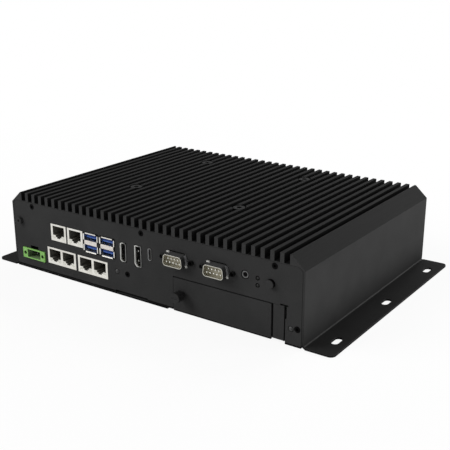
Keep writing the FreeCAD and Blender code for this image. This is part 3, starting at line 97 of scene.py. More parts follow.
def newFinish(name, constants):
    material = bpy.data.materials.new(name)
    material.use_nodes = True
    tree = material.node_tree
    shader = tree.nodes["Principled BSDF"]
    for socket, number in constants.items():
        shader.inputs[socket].default_value = number
    spot = Link(tree, tree.nodes.new("ShaderNodeTexCoord").outputs["Object"])
    return material, shader, spot


def wire(shader, links):
    for socket, link in links.items():
        link.tree.links.new(link.socket, shader.inputs[socket])


def noise(spot, scale, detail=2, stretch=(1, 1, 1)):
    placed = spot.node("ShaderNodeMapping", {}, {"Vector": spot, "Scale": stretch})
    return placed.node("ShaderNodeTexNoise", {}, {"Vector": placed, "Scale": scale, "Detail": detail})


def tint(factor, first, second):
    colours = {0: factor, 6: (*first, 1), 7: (*second, 1)}
    return factor.node("ShaderNodeMix", {"data_type": "RGBA"}, colours, 2)


def band(value, low, high):
    return value.node("ShaderNodeMapRange", {}, {"Value": value, "From Min": low, "From Max": high})


def grey(tone):
    return (tone, tone, tone)


def bump(height, distance, strength):
    return height.node("ShaderNodeBump", {}, {"Strength": strength, "Distance": distance, "Height": height})


# finishes: noise mixes two tones, and varies roughness and relief a little

def powderCoat(name, recipe):
    material, shader, spot = newFinish(name, {"Specular IOR Level": recipe["gloss"]})
    grain = noise(spot, recipe["grain"], 3)
    cloud = noise(spot, recipe["cloud"], 2)
    colour = tint(band(0.6 * cloud + 0.4 * grain, 0.35, 0.65), recipe["dark"], recipe["light"])
    # painted shade: the coat is darkened in the fold, where shade falls
    if "fold" in recipe:  # the coat is darker towards the fold at z = 0
        fold = recipe["fold"]
        height = band(spot.node("ShaderNodeSeparateXYZ", {}, {"Vector": spot}, 2), 0, fold["height"])
        shade = (1 - fold["least"]) * height ** fold["curve"] + fold["least"]
        colour = shade.node("ShaderNodeMix", {"data_type": "RGBA", "blend_type": "MULTIPLY"},
                            {0: 1, 6: colour, 7: tint(shade, grey(0), grey(1))}, 2)
    wire(shader, {
        "Base Color": colour,
        "Roughness": recipe["rough"] + 0.16 * (grain - 0.5) + 0.08 * (cloud - 0.5),
        "Normal": bump(grain, recipe["relief"], 0.35),
    })
    return material


def drawnAlloy(name, recipe):
    material, shader, spot = newFinish(name, {"Specular IOR Level": recipe["gloss"]})
    lines = noise(spot, recipe["lines"], 3, (1, 0.012, 1))  # die lines run along the fins
    etch = noise(spot, recipe["etch"], 2)
    wire(shader, {
        "Base Color": tint(band(0.7 * lines + 0.3 * etch, 0.35, 0.65), recipe["dark"], recipe["light"]),
        "Roughness": recipe["rough"] + 0.2 * (lines - 0.5),
        "Normal": bump(0.7 * lines + 0.3 * etch, recipe["relief"], 0.3),
    })
    return material


def platedMetal(name, recipe):
    material, shader, spot = newFinish(name, {"Metallic": 1.0})
    brush = noise(spot, recipe["brush"], 3, recipe["along"])
    stain = noise(spot, recipe["stain"], 3)
    wire(shader, {
        "Base Color": tint(band(0.35 * brush + 0.65 * stain, 0.35, 0.62), recipe["dark"], recipe["light"]),
        "Roughness": recipe["rough"] + 0.18 * (brush - 0.5) + 0.1 * (stain - 0.5),
        "Normal": bump(brush, recipe["relief"], 0.2),
    })
    return material


def mouldedPlastic(name, recipe):
    material, shader, spot = newFinish(name, {"Specular IOR Level": recipe["gloss"]})
    grain = noise(spot, recipe["grain"], 2)
    flow = noise(spot, recipe["flow"], 2)
    wire(shader, {
        "Base Color": tint(band(0.7 * flow + 0.3 * grain, 0.3, 0.7), recipe["dark"], recipe["light"]),
        "Roughness": recipe["rough"] + 0.15 * (grain - 0.5),
        "Normal": bump(grain, recipe["relief"], 0.3),
    })
    return material


def lampDiffuser(name, recipe):
    material, shader, spot = newFinish(name, {"Specular IOR Level": 0.5, "Coat Weight": 0.3})
    facets = spot.node("ShaderNodeTexVoronoi", {}, {"Vector": spot, "Scale": recipe["facets"]})
    haze = noise(spot, recipe["haze"], 2)
    wire(shader, {
        "Base Color": tint(band(0.5 * haze + 0.5 * facets, 0.2, 0.7), recipe["light"], recipe["dark"]),
        "Roughness": recipe["rough"] + 0.12 * (haze - 0.5),
        "Normal": bump(facets, recipe["relief"], 0.5),
    })
    return material


def boardResist(name, recipe):
    material, shader, spot = newFinish(name, {"Specular IOR Level": 0.5})
    cells = spot.node("ShaderNodeTexVoronoi", {"distance": "MANHATTAN"},
                      {"Vector": spot, "Scale": recipe["tracks"], "Randomness": 0.85})
    tracks = band(cells, 0.42, 0.46) - band(cells, 0.56, 0.6)  # a narrow ring of each cell is a copper track
    pads = spot.node("ShaderNodeTexVoronoi", {}, {"Vector": spot, "Scale": recipe["pads"], "Randomness": 0.7})
    bare = 1 - band(pads, 0.1, 0.13)
    resist = tint(tracks, recipe["dark"], recipe["light"])
    gilded = bare.node("ShaderNodeMix", {"data_type": "RGBA"},
                       {0: bare, 6: resist, 7: (*recipe["pad"], 1)}, 2)
    wire(shader, {
        "Base Color": gilded,
        "Metallic": bare,
        "Roughness": recipe["rough"] - 0.1 * bare + 0.1 * (noise(spot, recipe["pads"] * 4, 2) - 0.5),
        "Normal": bump(tracks + bare, recipe["relief"], 0.6),
    })
    return material


def softPad(name, recipe):
    material, shader, spot = newFinish(name, {"Specular IOR Level": 0.2})
    fill = noise(spot, recipe["grain"], 4)
    wire(shader, {
        "Base Color": tint(band(fill, 0.35, 0.65), recipe["dark"], recipe["light"]),
        "Roughness": 0.8 + 0.2 * (fill - 0.5),
        "Normal": bump(fill, recipe["relief"], 0.6),
    })
    return material


paint = powderCoat("blackPowderCoat", {
    "dark": grey(0.032), "light": grey(0.039), "rough": 0.7, "gloss": 0.02,
    "grain": 1500, "cloud": 45, "relief": 0.00003})
# the side walls' coat, with painted shade darkening it towards the fold
wallFoldShadePaint = powderCoat("wallCoatPaintedFoldShade", {
    "dark": grey(0.032), "light": grey(0.039), "rough": 0.7, "gloss": 0.02,
    "grain": 1500, "cloud": 45, "relief": 0.00003,
    "fold": {"height": 0.024, "curve": 0.55, "least": 0.3}})
# the flange is the wall's own sheet, coated darker as painted shade
flangePaintedShade = powderCoat("flangeCoatPaintedShade", {
    "dark": grey(0.013), "light": grey(0.017), "rough": 0.7, "gloss": 0.02,
    "grain": 1500, "cloud": 45, "relief": 0.00003})
# one black coat in a middle tone: a painted highlight on the walls' bends, painted shade on the thumbscrew's
# sides
bendHighlightKnobShade = powderCoat("bendCoatPaintedHighlightAndShade", {
    "dark": grey(0.022), "light": grey(0.028), "rough": 0.6, "gloss": 0.05,
    "grain": 1500, "cloud": 45, "relief": 0.00003})
topAlloy = drawnAlloy("blackAnodisedTops", {
    "dark": grey(0.0145), "light": grey(0.019), "rough": 0.7, "gloss": 0.02,
    "lines": 1800, "etch": 2600, "relief": 0.00002})
anodised = drawnAlloy("blackAnodisedAlloy", {
    "dark": grey(0.016), "light": grey(0.0205), "rough": 0.7, "gloss": 0.02,
    "lines": 1800, "etch": 2600, "relief": 0.00002})
# the fins' ends, lighter than the rest of the same anodised alloy: painted light
endAlloyPaintedLight = drawnAlloy("blackAnodisedEndsPaintedLight", {
    "dark": grey(0.034), "light": grey(0.042), "rough": 0.65, "gloss": 0.03,
    "lines": 900, "etch": 2600, "relief": 0.00002})
# the slots' walls and floors, darker than the same alloy elsewhere: painted shade
slotAlloyPaintedShade = drawnAlloy("blackAnodisedSlotsPaintedShade", {
    "dark": grey(0.006), "light": grey(0.009), "rough": 0.75, "gloss": 0.01,
    "lines": 1800, "etch": 2600, "relief": 0.00002})
# the serial jack screws' coat, darker as painted shade
screwPaintedShade = powderCoat("darkCoatPaintedShade", {
    "dark": grey(0.007), "light": grey(0.01), "rough": 0.65, "gloss": 0.03,
    "grain": 1500, "cloud": 45, "relief": 0.00003})
# painted highlight: a light dull grey on a serial shell's root and on the oval socket's left rim
greyPaintedHighlight = powderCoat("shellRootPaintedHighlight", {
    "dark": (0.24, 0.24, 0.245), "light": (0.32, 0.32, 0.325), "rough": 0.5, "gloss": 0.3,
    "grain": 3500, "cloud": 300, "relief": 0.000006})
# painted light: the serial shells' tops lighter than their sides
shellTopPaintedLight = powderCoat("shellTopCoatPaintedLight", {
    "dark": grey(0.058), "light": grey(0.068), "rough": 0.7, "gloss": 0.02,
    "grain": 3500, "cloud": 300, "relief": 0.000006})
studGrey = powderCoat("dullStud", {
    "dark": grey(0.02), "light": grey(0.046), "rough": 0.45, "gloss": 0.3,
    "grain": 3500, "cloud": 900, "relief": 0.00001})
# painted glint for the serial shells' corners, the sockets' left rims and the grounding bumps
cornerGlint = powderCoat("shellCornerPaintedGlint", {
    "dark": (0.6, 0.6, 0.57), "light": (0.72, 0.72, 0.69), "rough": 0.4, "gloss": 0.4,
    "grain": 3500, "cloud": 300, "relief": 0.000006})
screwBlack = powderCoat("blackOxide", {
    "dark": grey(0.0015), "light": grey(0.003), "rough": 0.5, "gloss": 0.03,
    "grain": 3500, "cloud": 500, "relief": 0.00001})
# painted light: the screw heads' tops a lighter black
headTopPaintedLight = powderCoat("blackOxideHeadPaintedLight", {
    "dark": grey(0.016), "light": grey(0.022), "rough": 0.6, "gloss": 0.03,
    "grain": 3500, "cloud": 500, "relief": 0.00001})
zincSteel = platedMetal("zincSteel", {
    "dark": grey(0.5), "light": grey(0.68), "rough": 0.34,
    "brush": 2500, "along": (1, 1, 1), "stain": 300, "relief": 0.000008})
nickel = platedMetal("nickelPlate", {
    "dark": (0.66, 0.64, 0.59), "light": (0.8, 0.79, 0.74), "rough": 0.3,
    "brush": 3000, "along": (0.06, 1, 1), "stain": 240, "relief": 0.000006})
dullNickel = platedMetal("dullNickel", {
    "dark": (0.46, 0.45, 0.4), "light": (0.6, 0.59, 0.53), "rough": 0.34,
    "brush": 3000, "along": (1, 0.06, 1), "stain": 300, "relief": 0.000006})
greyNickel = platedMetal("greyNickel", {
    "dark": grey(0.1), "light": grey(0.16), "rough": 0.4,
    "brush": 3000, "along": (1, 0.06, 1), "stain": 300, "relief": 0.000006})
# painted shade: a darker nickel for the sockets' right sides
nickelPaintedShade = platedMetal("nickelPaintedShade", {
    "dark": (0.17, 0.17, 0.168), "light": (0.25, 0.25, 0.246), "rough": 0.4,
    "brush": 3000, "along": (1, 0.06, 1), "stain": 300, "relief": 0.000006})
darkNickel = platedMetal("darkNickel", {
    "dark": grey(0.035), "light": (0.065, 0.065, 0.064), "rough": 0.4,
    "brush": 3000, "along": (1, 0.06, 1), "stain": 300, "relief": 0.000006})
milled = platedMetal("milledAlloy", {
    "dark": (0.66, 0.66, 0.67), "light": (0.8, 0.8, 0.81), "rough": 0.32,
    "brush": 2200, "along": (0.03, 1, 1), "stain": 90, "relief": 0.000012})
gold = platedMetal("goldPlate", {
    "dark": (0.72, 0.52, 0.2), "light": (0.88, 0.7, 0.34), "rough": 0.24,
    "brush": 4000, "along": (1, 0.1, 1), "stain": 900, "relief": 0.000004})
tin = platedMetal("tinPlate", {
    "dark": (0.6, 0.6, 0.57), "light": (0.76, 0.76, 0.73), "rough": 0.36,
    "brush": 3500, "along": (1, 0.1, 1), "stain": 800, "relief": 0.000005})
driveMetal = platedMetal("driveCase", {
    "dark": (0.1, 0.1, 0.105), "light": (0.15, 0.15, 0.155), "rough": 0.42,
    "brush": 2600, "along": (1, 0.03, 1), "stain": 60, "relief": 0.00001})
blackPlastic = mouldedPlastic("blackPlastic", {
    "dark": (0.012, 0.012, 0.0125), "light": (0.022, 0.022, 0.0225), "rough": 0.5, "gloss": 0.35,
    "grain": 4500, "flow": 220, "relief": 0.00001})
# near-black: the black plastic tongues and audio jack, and painted shade in gaps, holes, recesses and along
# the foot
blackAndPaintedShade = mouldedPlastic("blackAndPaintedShade", {
    "dark": grey(0.003), "light": grey(0.006), "rough": 0.65, "gloss": 0.02,
    "grain": 4500, "flow": 220, "relief": 0.00001})
# the network jacks' inserts, lightened as painted light for the light that hardly reaches into their mouths
mouthPlasticPaintedLight = mouldedPlastic("mouthPlasticPaintedLight", {
    "dark": (0.09, 0.088, 0.078), "light": (0.15, 0.147, 0.13), "rough": 0.5, "gloss": 0.3,
    "grain": 4500, "flow": 400, "relief": 0.00001})
bluePlastic = mouldedPlastic("bluePlastic", {
    "dark": (0.008, 0.055, 0.28), "light": (0.02, 0.12, 0.46), "rough": 0.35, "gloss": 0.5,
    "grain": 4500, "flow": 500, "relief": 0.000008})
# painted shade: a darker copy of the blue tongue plastic
bluePaintedShade = mouldedPlastic("bluePlasticPaintedShade", {
    "dark": (0.004, 0.025, 0.16), "light": (0.008, 0.045, 0.24), "rough": 0.45, "gloss": 0.2,
    "grain": 4500, "flow": 500, "relief": 0.000008})
greenPlastic = mouldedPlastic("greenPlastic", {
    "dark": (0.16, 0.4, 0.065), "light": (0.25, 0.52, 0.14), "rough": 0.42, "gloss": 0.4,
    "grain": 4000, "flow": 300, "relief": 0.000012})
# painted shade in the power header's recess
greenPaintedShade = mouldedPlastic("greenPlasticPaintedShade", {
    "dark": (0.12, 0.19, 0.085), "light": (0.18, 0.27, 0.13), "rough": 0.5, "gloss": 0.3,
    "grain": 4000, "flow": 300, "relief": 0.000012})
tanPlastic = mouldedPlastic("tanPlastic", {
    "dark": (0.4, 0.37, 0.28), "light": (0.52, 0.49, 0.39), "rough": 0.45, "gloss": 0.5,
    "grain": 4500, "flow": 500, "relief": 0.00001})
creamPlastic = mouldedPlastic("creamPlastic", {
    "dark": (0.68, 0.63, 0.58), "light": (0.8, 0.76, 0.72), "rough": 0.4, "gloss": 0.5,
    "grain": 4000, "flow": 400, "relief": 0.000008})
smokedLens = mouldedPlastic("smokedLens", {
    "dark": grey(0.022), "light": (0.034, 0.034, 0.033), "rough": 0.45, "gloss": 0.1,
    "grain": 2600, "flow": 700, "relief": 0.00002})
lampClear = lampDiffuser("lampDiffuser", {
    "dark": (0.6, 0.6, 0.52), "light": (0.84, 0.84, 0.77), "rough": 0.3, "facets": 2600, "haze": 700,
    "relief": 0.00004})
resist = boardResist("boardResist", {
    "dark": (0.001, 0.004, 0.002), "light": (0.002, 0.008, 0.004), "pad": (0.2, 0.16, 0.08), "rough": 0.6,
    "tracks": 420, "pads": 330, "relief": 0.00002})
padRubber = softPad("padRubber", {
    "dark": (0.38, 0.43, 0.48), "light": (0.5, 0.55, 0.6), "grain": 1600, "relief": 0.00004})

finishOfSlot = {
    "black_anodised": anodised, "black_paint": paint, "black_screw": screwBlack, "plain_steel": zincSteel,
    "nickel": nickel, "bare_aluminium": milled, "gold_contact": gold, "black_plastic": blackPlastic,
    "blue_plastic": bluePlastic, "green_plastic": greenPlastic, "lamp_clear": lampClear,
    "circuit_board": resist, "thermal_pad": padRubber, "drive_case": driveMetal, "tinned": tin,
    "tan_plastic": tanPlastic,
}
finishOfNode = {
    "tray_thumbscrew": paint, "power_button": paint, "ground_screw": paint, "status_lamps": smokedLens,
    "left_side_wall": wallFoldShadePaint, "right_side_wall": wallFoldShadePaint, "serial_jack_screws": screwPaintedShade,
    "audio_jack": blackAndPaintedShade, "video_tongues": blackAndPaintedShade, "oval_socket_tongue": blackAndPaintedShade,
    "power_contacts": greyNickel, "panel_inserts": studGrey,
    "serial_port_a_shell": dullNickel, "serial_port_b_shell": dullNickel,
    "video_socket_a_shell": dullNickel, "video_socket_b_shell": dullNickel, "oval_socket_shell": dullNickel,
    "jack_a_insert": mouthPlasticPaintedLight, "jack_b_insert": mouthPlasticPaintedLight,
    "twin_jack_a_insert": mouthPlasticPaintedLight, "twin_jack_b_insert": mouthPlasticPaintedLight,
}
print("finishes ready")


# modelling helpers
creaseAngle = math.radians(32)
meshClean = {"merge": 0.001, "dissolve": 0.5}  # millimetres, degrees
flat = 0.9  # how far a normal points along an axis, here and in the next three
mostly = 0.7
half = 0.5
some = 0.3


def only(piece):
    bpy.ops.object.select_all(action="DESELECT")
    piece.select_set(True)
    bpy.context.view_layer.objects.active = piece


def openMesh(piece):
    only(piece)
    bpy.ops.object.mode_set(mode="EDIT")
    bpy.ops.mesh.select_mode(type="FACE")


def closeMesh():
    bpy.ops.object.mode_set(mode="OBJECT")


def pickFaces(piece, wanted):
    mesh = bmesh.from_edit_mesh(piece.data)
    for face in mesh.faces:
        face.select_set(wanted(face))
    bmesh.update_edit_mesh(piece.data)


def facing(direction):
    return lambda face: face.normal.dot(Vector(direction)) > flat


def extrude(move):
    bpy.ops.mesh.extrude_region_move(TRANSFORM_OT_translate={"value": move})


def applyModifier(piece, kind, settings):
    only(piece)
    modifier = piece.modifiers.new(kind, kind)
    for name, setting in settings.items():
        setattr(modifier, name, setting)
    bpy.ops.object.modifier_apply(modifier=modifier.name)


def roundEdges(piece, width, segments=2):
    applyModifier(piece, "BEVEL", {"width": width, "segments": segments, "limit_method": "ANGLE",
                                   "angle_limit": creaseAngle, "use_clamp_overlap": True})


def takeNew(name):
    piece = bpy.context.object
    piece.name = name
    bpy.ops.object.transform_apply(location=True, rotation=True, scale=True)
    return piece


def startBlock(name, middle, size):
    bpy.ops.object.select_all(action="DESELECT")
    bpy.ops.mesh.primitive_cube_add(size=1, location=middle, scale=size)
    return takeNew(name)


def startRod(name, middle, radius, length, sides, tilt=90):  # along y, or upright with no tilt
    bpy.ops.object.select_all(action="DESELECT")
    bpy.ops.mesh.primitive_cylinder_add(vertices=sides, radius=radius, depth=length, location=middle,
                                        rotation=(math.radians(tilt), 0, 0))
    return takeNew(name)


def copyAt(master, placement):
    piece = bpy.data.objects.new(master.name, master.data.copy())
    bpy.context.scene.collection.objects.link(piece)
    piece.data.transform(placement)
    return piece


def joinAll(pieces, name):
    only(pieces[0])
    for piece in pieces[1:]:
        piece.select_set(True)
    bpy.ops.object.join()
    pieces[0].name = name
    return pieces[0]


def dropMaster(master):
    bpy.data.objects.remove(master)


def settle(piece, body, finish, slot, *nodes):
    only(piece)
    bpy.ops.object.shade_smooth_by_angle(angle=creaseAngle)
    applyModifier(piece, "WEIGHTED_NORMAL", {"keep_sharp": True})  # flat faces stay flat beside rounded edges
    piece.data.materials.clear()
    piece.data.materials.append(finish)
    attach(piece, body)
    if nodes:
        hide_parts(*nodes)
    return piece


def edgedCopy(node, width):
    piece = bpy.data.objects.new(node + "_finished", frame["nodes"][node].data.copy())
    bpy.context.scene.collection.objects.link(piece)
    only(piece)
    bpy.ops.mesh.customdata_custom_splitnormals_clear()
    openMesh(piece)
    bpy.ops.mesh.select_all(action="SELECT")
    bpy.ops.mesh.remove_doubles(threshold=meshClean["merge"] * mm)
    bpy.ops.mesh.dissolve_limited(angle_limit=math.radians(meshClean["dissolve"]))
    closeMesh()
    roundEdges(piece, width * mm)
    for direction, place in cutPlanes.get(node, []):
        openMesh(piece)
        bpy.ops.mesh.select_all(action="SELECT")
        bpy.ops.mesh.bisect(plane_co=Vector(direction) * place * mm, plane_no=direction)
        closeMesh()
    slot = slotOf[node]
    return settle(piece, bodyOf[node], finishOfNode.get(node, finishOfSlot[slot]), slot, node)


def faceFinish(piece, finish, wanted):
    piece.data.materials.append(finish)
    last = len(piece.data.materials) - 1
    for face in piece.data.polygons:
        if wanted(face.center, face.normal):
            face.material_index = last


def shiftFaces(piece, inside, move):
    openMesh(piece)
    pickFaces(piece, lambda face: all(inside(corner.co) for corner in face.verts))
    bpy.ops.transform.translate(value=move)
    closeMesh()


def centreOf(node):
    low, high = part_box(node)
    return (low + high) / 2


def frontOf(node):
    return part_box(node)[0].y


# machined, folded and moulded pieces take the edge radii that the solids leave sharp, in millimetres
edgeWidths = {
    "heatsink_cover": 0.2, "front_panel": 0.22, "rear_panel": 0.22, "left_side_wall": 0.3,
    "right_side_wall": 0.3, "bottom_cover": 0.2, "drive_tray": 0.25, "drive_cage": 0.25,
    "tray_thumbscrew": 0.16, "power_button": 0.35, "antenna_plugs": 0.4, "case_screws": 0.1,
    "ground_screw": 0.2, "serial_jack_screws": 0.15, "panel_inserts": 0.1,
    "jack_a_shield": 0.12, "jack_b_shield": 0.12, "twin_jack_a_shield": 0.12, "twin_jack_b_shield": 0.12,
    "jack_a_insert": 0.12, "jack_b_insert": 0.12, "twin_jack_a_insert": 0.12, "twin_jack_b_insert": 0.12,
    "network_lamps": 0.15, "data_stack_a_shield": 0.12, "data_stack_b_shield": 0.12,
    "data_stack_a_tongues": 0.25, "data_stack_b_tongues": 0.25, "video_socket_a_shell": 0.15,
    "video_socket_b_shell": 0.15, "video_tongues": 0.2, "oval_socket_shell": 0.1, "oval_socket_tongue": 0.15,
    "serial_port_a_shell": 0.2, "serial_port_b_shell": 0.2, "serial_insulators": 0.2, "audio_jack": 0.25,
    "status_lamps": 0.1, "power_header": 0.2, "power_contacts": 0.15,
}
# places in millimetres where a piece changes its finish; some of its faces are split there first
footTop = 2.9
mouthRim = -96.2
mouthSplit = {"video_socket_a_shell": -16.7, "video_socket_b_shell": -2.8, "oval_socket_shell": 8.1}
headerTone = {"frontTo": -97, "rim": 0.4, "halfWidth": 11.5, "halfHeight": 4, "topFrom": 16.5}
stackTone = {"rim": 0.3, "upperTongue": 39.25, "lowerTongue": 30.85, "tongue": 3}
serialTone = {"lip": -102.3, "root": -98.7, "panel": -96.6, "plate": -96.8, "plateLean": 0.8,
              "roundness": 0.4, "corner": 0.12, "screwNear": 9, "screwFar": 16}
pair = ("a", "b")
walls = ("left_side_wall", "right_side_wall")

cutPlanes = {"power_header": [((0, 1, 0), headerTone["frontTo"])], "front_panel": [((0, 0, 1), footTop)],
             "drive_tray": [((0, 0, 1), footTop)]}
for node, x in mouthSplit.items():
    cutPlanes[node] = [((0, 1, 0), mouthRim), ((1, 0, 0), x)]
for label in pair:
    cutPlanes[f"serial_port_{label}_shell"] = [((0, 1, 0), serialTone[place]) for place in ("lip", "root")]
    cutPlanes[f"data_stack_{label}_tongues"] = [((0, 0, 1), stackTone[place])
                                                for place in ("upperTongue", "lowerTongue")]
edged = {node: edgedCopy(node, width) for node, width in edgeWidths.items()}
print("edges rounded on", len(edged), "pieces")


# faces of one piece that have a finish of their own; a later finish covers an earlier one
finTone = {"topFrom": 60, "endFrom": 55, "slotFrom": 55.6, "slotReach": 121.5, "floorFrom": 49,
           "floorTo": 56.2}


def finishFins():
    size = finTone
    cover = edged["heatsink_cover"]
    faceFinish(cover, topAlloy, lambda spot, normal: normal.z > flat and spot.z > size["topFrom"] * mm)
    # painted light on the fins' ends
    faceFinish(cover, endAlloyPaintedLight, lambda spot, normal: abs(normal.y) > flat and spot.z > size["endFrom"] * mm)
    # painted shade in the slots and on their floors
    faceFinish(cover, slotAlloyPaintedShade, lambda spot, normal: (
        (abs(normal.x) > mostly and spot.z > size["slotFrom"] * mm and abs(spot.x) < size["slotReach"] * mm)
        or (normal.z > mostly and size["floorFrom"] * mm < spot.z < size["floorTo"] * mm)))


wallTone = {"flangeTo": 5, "bendTo": 6, "bendLean": 0.95}


def finishWalls():
    size = wallTone
    for node in walls:
        # painted shade: the flange faces darker than the wall
        faceFinish(edged[node], flangePaintedShade, lambda spot, normal: (
            abs(normal.z) > mostly and spot.z < size["flangeTo"] * mm))
        # painted highlight: the bend lighter than the shaded fold beside it
        faceFinish(edged[node], bendHighlightKnobShade, lambda spot, normal: (
            some < normal.z < size["bendLean"] and spot.z < size["bendTo"] * mm))


def finishStack(label):
    size = stackTone
    node = f"data_stack_{label}_shield"
    front = frontOf(node) + size["rim"] * mm
    # painted shade: the shield's front rim near-black, seen in the open corners between the lips
    faceFinish(edged[node], blackAndPaintedShade, lambda spot, normal: normal.y < -some and spot.y < front)
    # painted shade: bands of the tongues darker blue
    faceFinish(edged[f"data_stack_{label}_tongues"], bluePaintedShade, lambda spot, normal: (
        spot.z > size["upperTongue"] * mm
        or size["lowerTongue"] * mm < spot.z < (size["lowerTongue"] + size["tongue"]) * mm))


def finishSerial(label):
    size = serialTone
    node = f"serial_port_{label}_shell"
    shell = edged[node]
    middle = centreOf(node)

    def outside(spot, normal):
        outward = normal.x * (spot.x - middle.x) * size["roundness"] + normal.z * (spot.z - middle.z) > 0
        return spot.y < size["panel"] * mm and abs(normal.y) < half and outward

    def root(spot, normal):
        return outside(spot, normal) and spot.y > size["root"] * mm

    # painted light and shade on the nickel shell: its outside takes the black panel coat as a painted
    # reflection, the lip a near-black line of painted shade, the top painted light, the right root a painted
    # highlight, the corners a painted glint, and the plate behind the shell painted shade
    faceFinish(shell, paint, outside)
    faceFinish(shell, blackAndPaintedShade, lambda spot, normal: outside(spot, normal) and spot.y < size["lip"] * mm)
    faceFinish(shell, shellTopPaintedLight, lambda spot, normal: outside(spot, normal) and normal.z > half)
    faceFinish(shell, greyPaintedHighlight, lambda spot, normal: root(spot, normal) and normal.x > half)
    faceFinish(shell, cornerGlint, lambda spot, normal: (
        root(spot, normal) and normal.x * normal.z < -size["corner"]))
    faceFinish(shell, blackAndPaintedShade, lambda spot, normal: (
        normal.y < -size["plateLean"] and spot.y > size["plate"] * mm))
    # painted light and shade on one kind of screw: the screw left of the port shows in the panel's own tone,
    # the others keep a darker coat
    faceFinish(edged["serial_jack_screws"], paint, lambda spot, normal: (
        size["screwNear"] < (middle.x - spot.x) / mm < size["screwFar"]))


def finishMouths():
    for node, x in mouthSplit.items():
        # painted shade on each socket's right side, a painted highlight on its left rim
        faceFinish(edged[node], nickelPaintedShade, lambda spot, normal: spot.x > x * mm)
        leftRim = greyPaintedHighlight if node == "oval_socket_shell" else cornerGlint
        faceFinish(edged[node], leftRim, lambda spot, normal: (
            spot.x < x * mm and spot.y < mouthRim * mm and (normal.x > some or normal.y < -some)))


def finishHeader():
    size = headerTone
    header = edged["power_header"]
    middle = centreOf("power_header")
    front = frontOf("power_header") + size["rim"] * mm
    # painted shade: the header's recess darker green, the latch notch's floor near-black
    faceFinish(header, greenPaintedShade, lambda spot, normal: (
        spot.y > front and abs(spot.x - middle.x) < size["halfWidth"] * mm
        and abs(spot.z - middle.z) < size["halfHeight"] * mm))
    faceFinish(header, blackAndPaintedShade, lambda spot, normal: (
        normal.z > half and spot.y > size["frontTo"] * mm and spot.z > size["topFrom"] * mm))


footShade = {"coverFront": -96, "panelRight": 25, "trayFront": -95.3}


def finishFoot():
    size = footShade
    # painted shade along the foot: the cover's front edge and the lowest strip of the panel and door
    # near-black
    faceFinish(edged["bottom_cover"], blackAndPaintedShade, lambda spot, normal: (
        normal.y < -some and spot.y < size["coverFront"] * mm))
    faceFinish(edged["front_panel"], blackAndPaintedShade, lambda spot, normal: (
        spot.z < footTop * mm and spot.x < size["panelRight"] * mm))
    faceFinish(edged["drive_tray"], blackAndPaintedShade, lambda spot, normal: (
        spot.z < footTop * mm and spot.y < size["trayFront"] * mm))


controlTone = {"lampHeights": (35.8, 40.8), "ringFrom": 0.9, "ringTo": 2, "buttonRim": 0.3, "knobLean": 0.6}


def finishControls():
    size = controlTone
    # painted shade: a near-black ring round each lamp and near-black sides on the button
    for height in size["lampHeights"]:
        lamp = Vector((centreOf("status_lamps").x, 0, height * mm))
        faceFinish(edged["status_lamps"], blackAndPaintedShade, lambda spot, normal: (
            size["ringFrom"] * mm < (spot.xz - lamp.xz).length < size["ringTo"] * mm))
    front = frontOf("power_button") + size["buttonRim"] * mm
    faceFinish(edged["power_button"], blackAndPaintedShade, lambda spot, normal: spot.y > front)
    # painted shade: the thumbscrew's sides darker than its front
    faceFinish(edged["tray_thumbscrew"], bendHighlightKnobShade, lambda spot, normal: abs(normal.y) < size["knobLean"])


finishFins()
finishWalls()
for label in pair:
    finishStack(label)
    finishSerial(label)
finishMouths()
finishHeader()
finishFoot()
finishControls()
print("face finishes set")


# the bay's gaps as they show: a wide one right of the door, none over the strip beside it
bayGap = {"front": -95.4, "doorFrom": 108, "doorRight": -0.9, "footTo": 2.95, "doorFoot": -1.1,
          "stripFrom": 109, "topFrom": 25, "stripTop": 0.75, "bottomTo": 4.2, "stripFoot": -1.4,
          "returnFrom": 108, "returnTo": -90}


def fitBay():
    size = bayGap
    front = size["front"] * mm
    door = edged["drive_tray"]
    strip = edged["drive_cage"]
    shiftFaces(door, lambda v: v.y < front and v.x > size["doorFrom"] * mm, (size["doorRight"] * mm, 0, 0))
    shiftFaces(door, lambda v: v.y < front and v.z < size["footTo"] * mm, (0, 0, size["doorFoot"] * mm))
    shiftFaces(strip, lambda v: v.y < front and v.x > size["stripFrom"] * mm and v.z > size["topFrom"] * mm,
               (0, 0, size["stripTop"] * mm))
    shiftFaces(strip, lambda v: v.y < front and v.x > size["stripFrom"] * mm and v.z < size["bottomTo"] * mm,
               (0, 0, size["stripFoot"] * mm))
    shiftFaces(strip, lambda v: (
        front < v.y < size["returnTo"] * mm and v.x > size["returnFrom"] * mm
        and v.z < size["bottomTo"] * mm),
        (0, 0, size["stripFoot"] * mm))


sunkFronts = {"audio_jack": 1.2, "status_lamps": 0.75}  # how far these sit back in their holes
sunkFrom = -96.6


def sinkFronts():
    for node, depth in sunkFronts.items():
        shiftFaces(edged[node], lambda v: v.y < sunkFrom * mm, (0, depth * mm, 0))


# notches at the folds' ends, shown shallow
foldRelief = {"depth": 3, "shown": 0.7, "near": 0.5, "top": 4, "inner": 130, "outer": 133.4}


def closeNotches():
    size = foldRelief
    for node in walls:
        low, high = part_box(node)
        for end, way in ((low.y, 1), (high.y, -1)):
            back = end + way * size["depth"] * mm
            shiftFaces(edged[node], lambda v: (
                abs(v.y - back) < size["near"] * mm and v.z < size["top"] * mm
                and size["inner"] < abs(v.x) / mm < size["outer"]),
                (0, way * (size["shown"] - size["depth"]) * mm, 0))


# slot across the thumbscrew's head, shown shallow
knobSlot = {"depth": 1.2, "shown": 0.3, "near": 0.3, "halfWidth": 0.85}


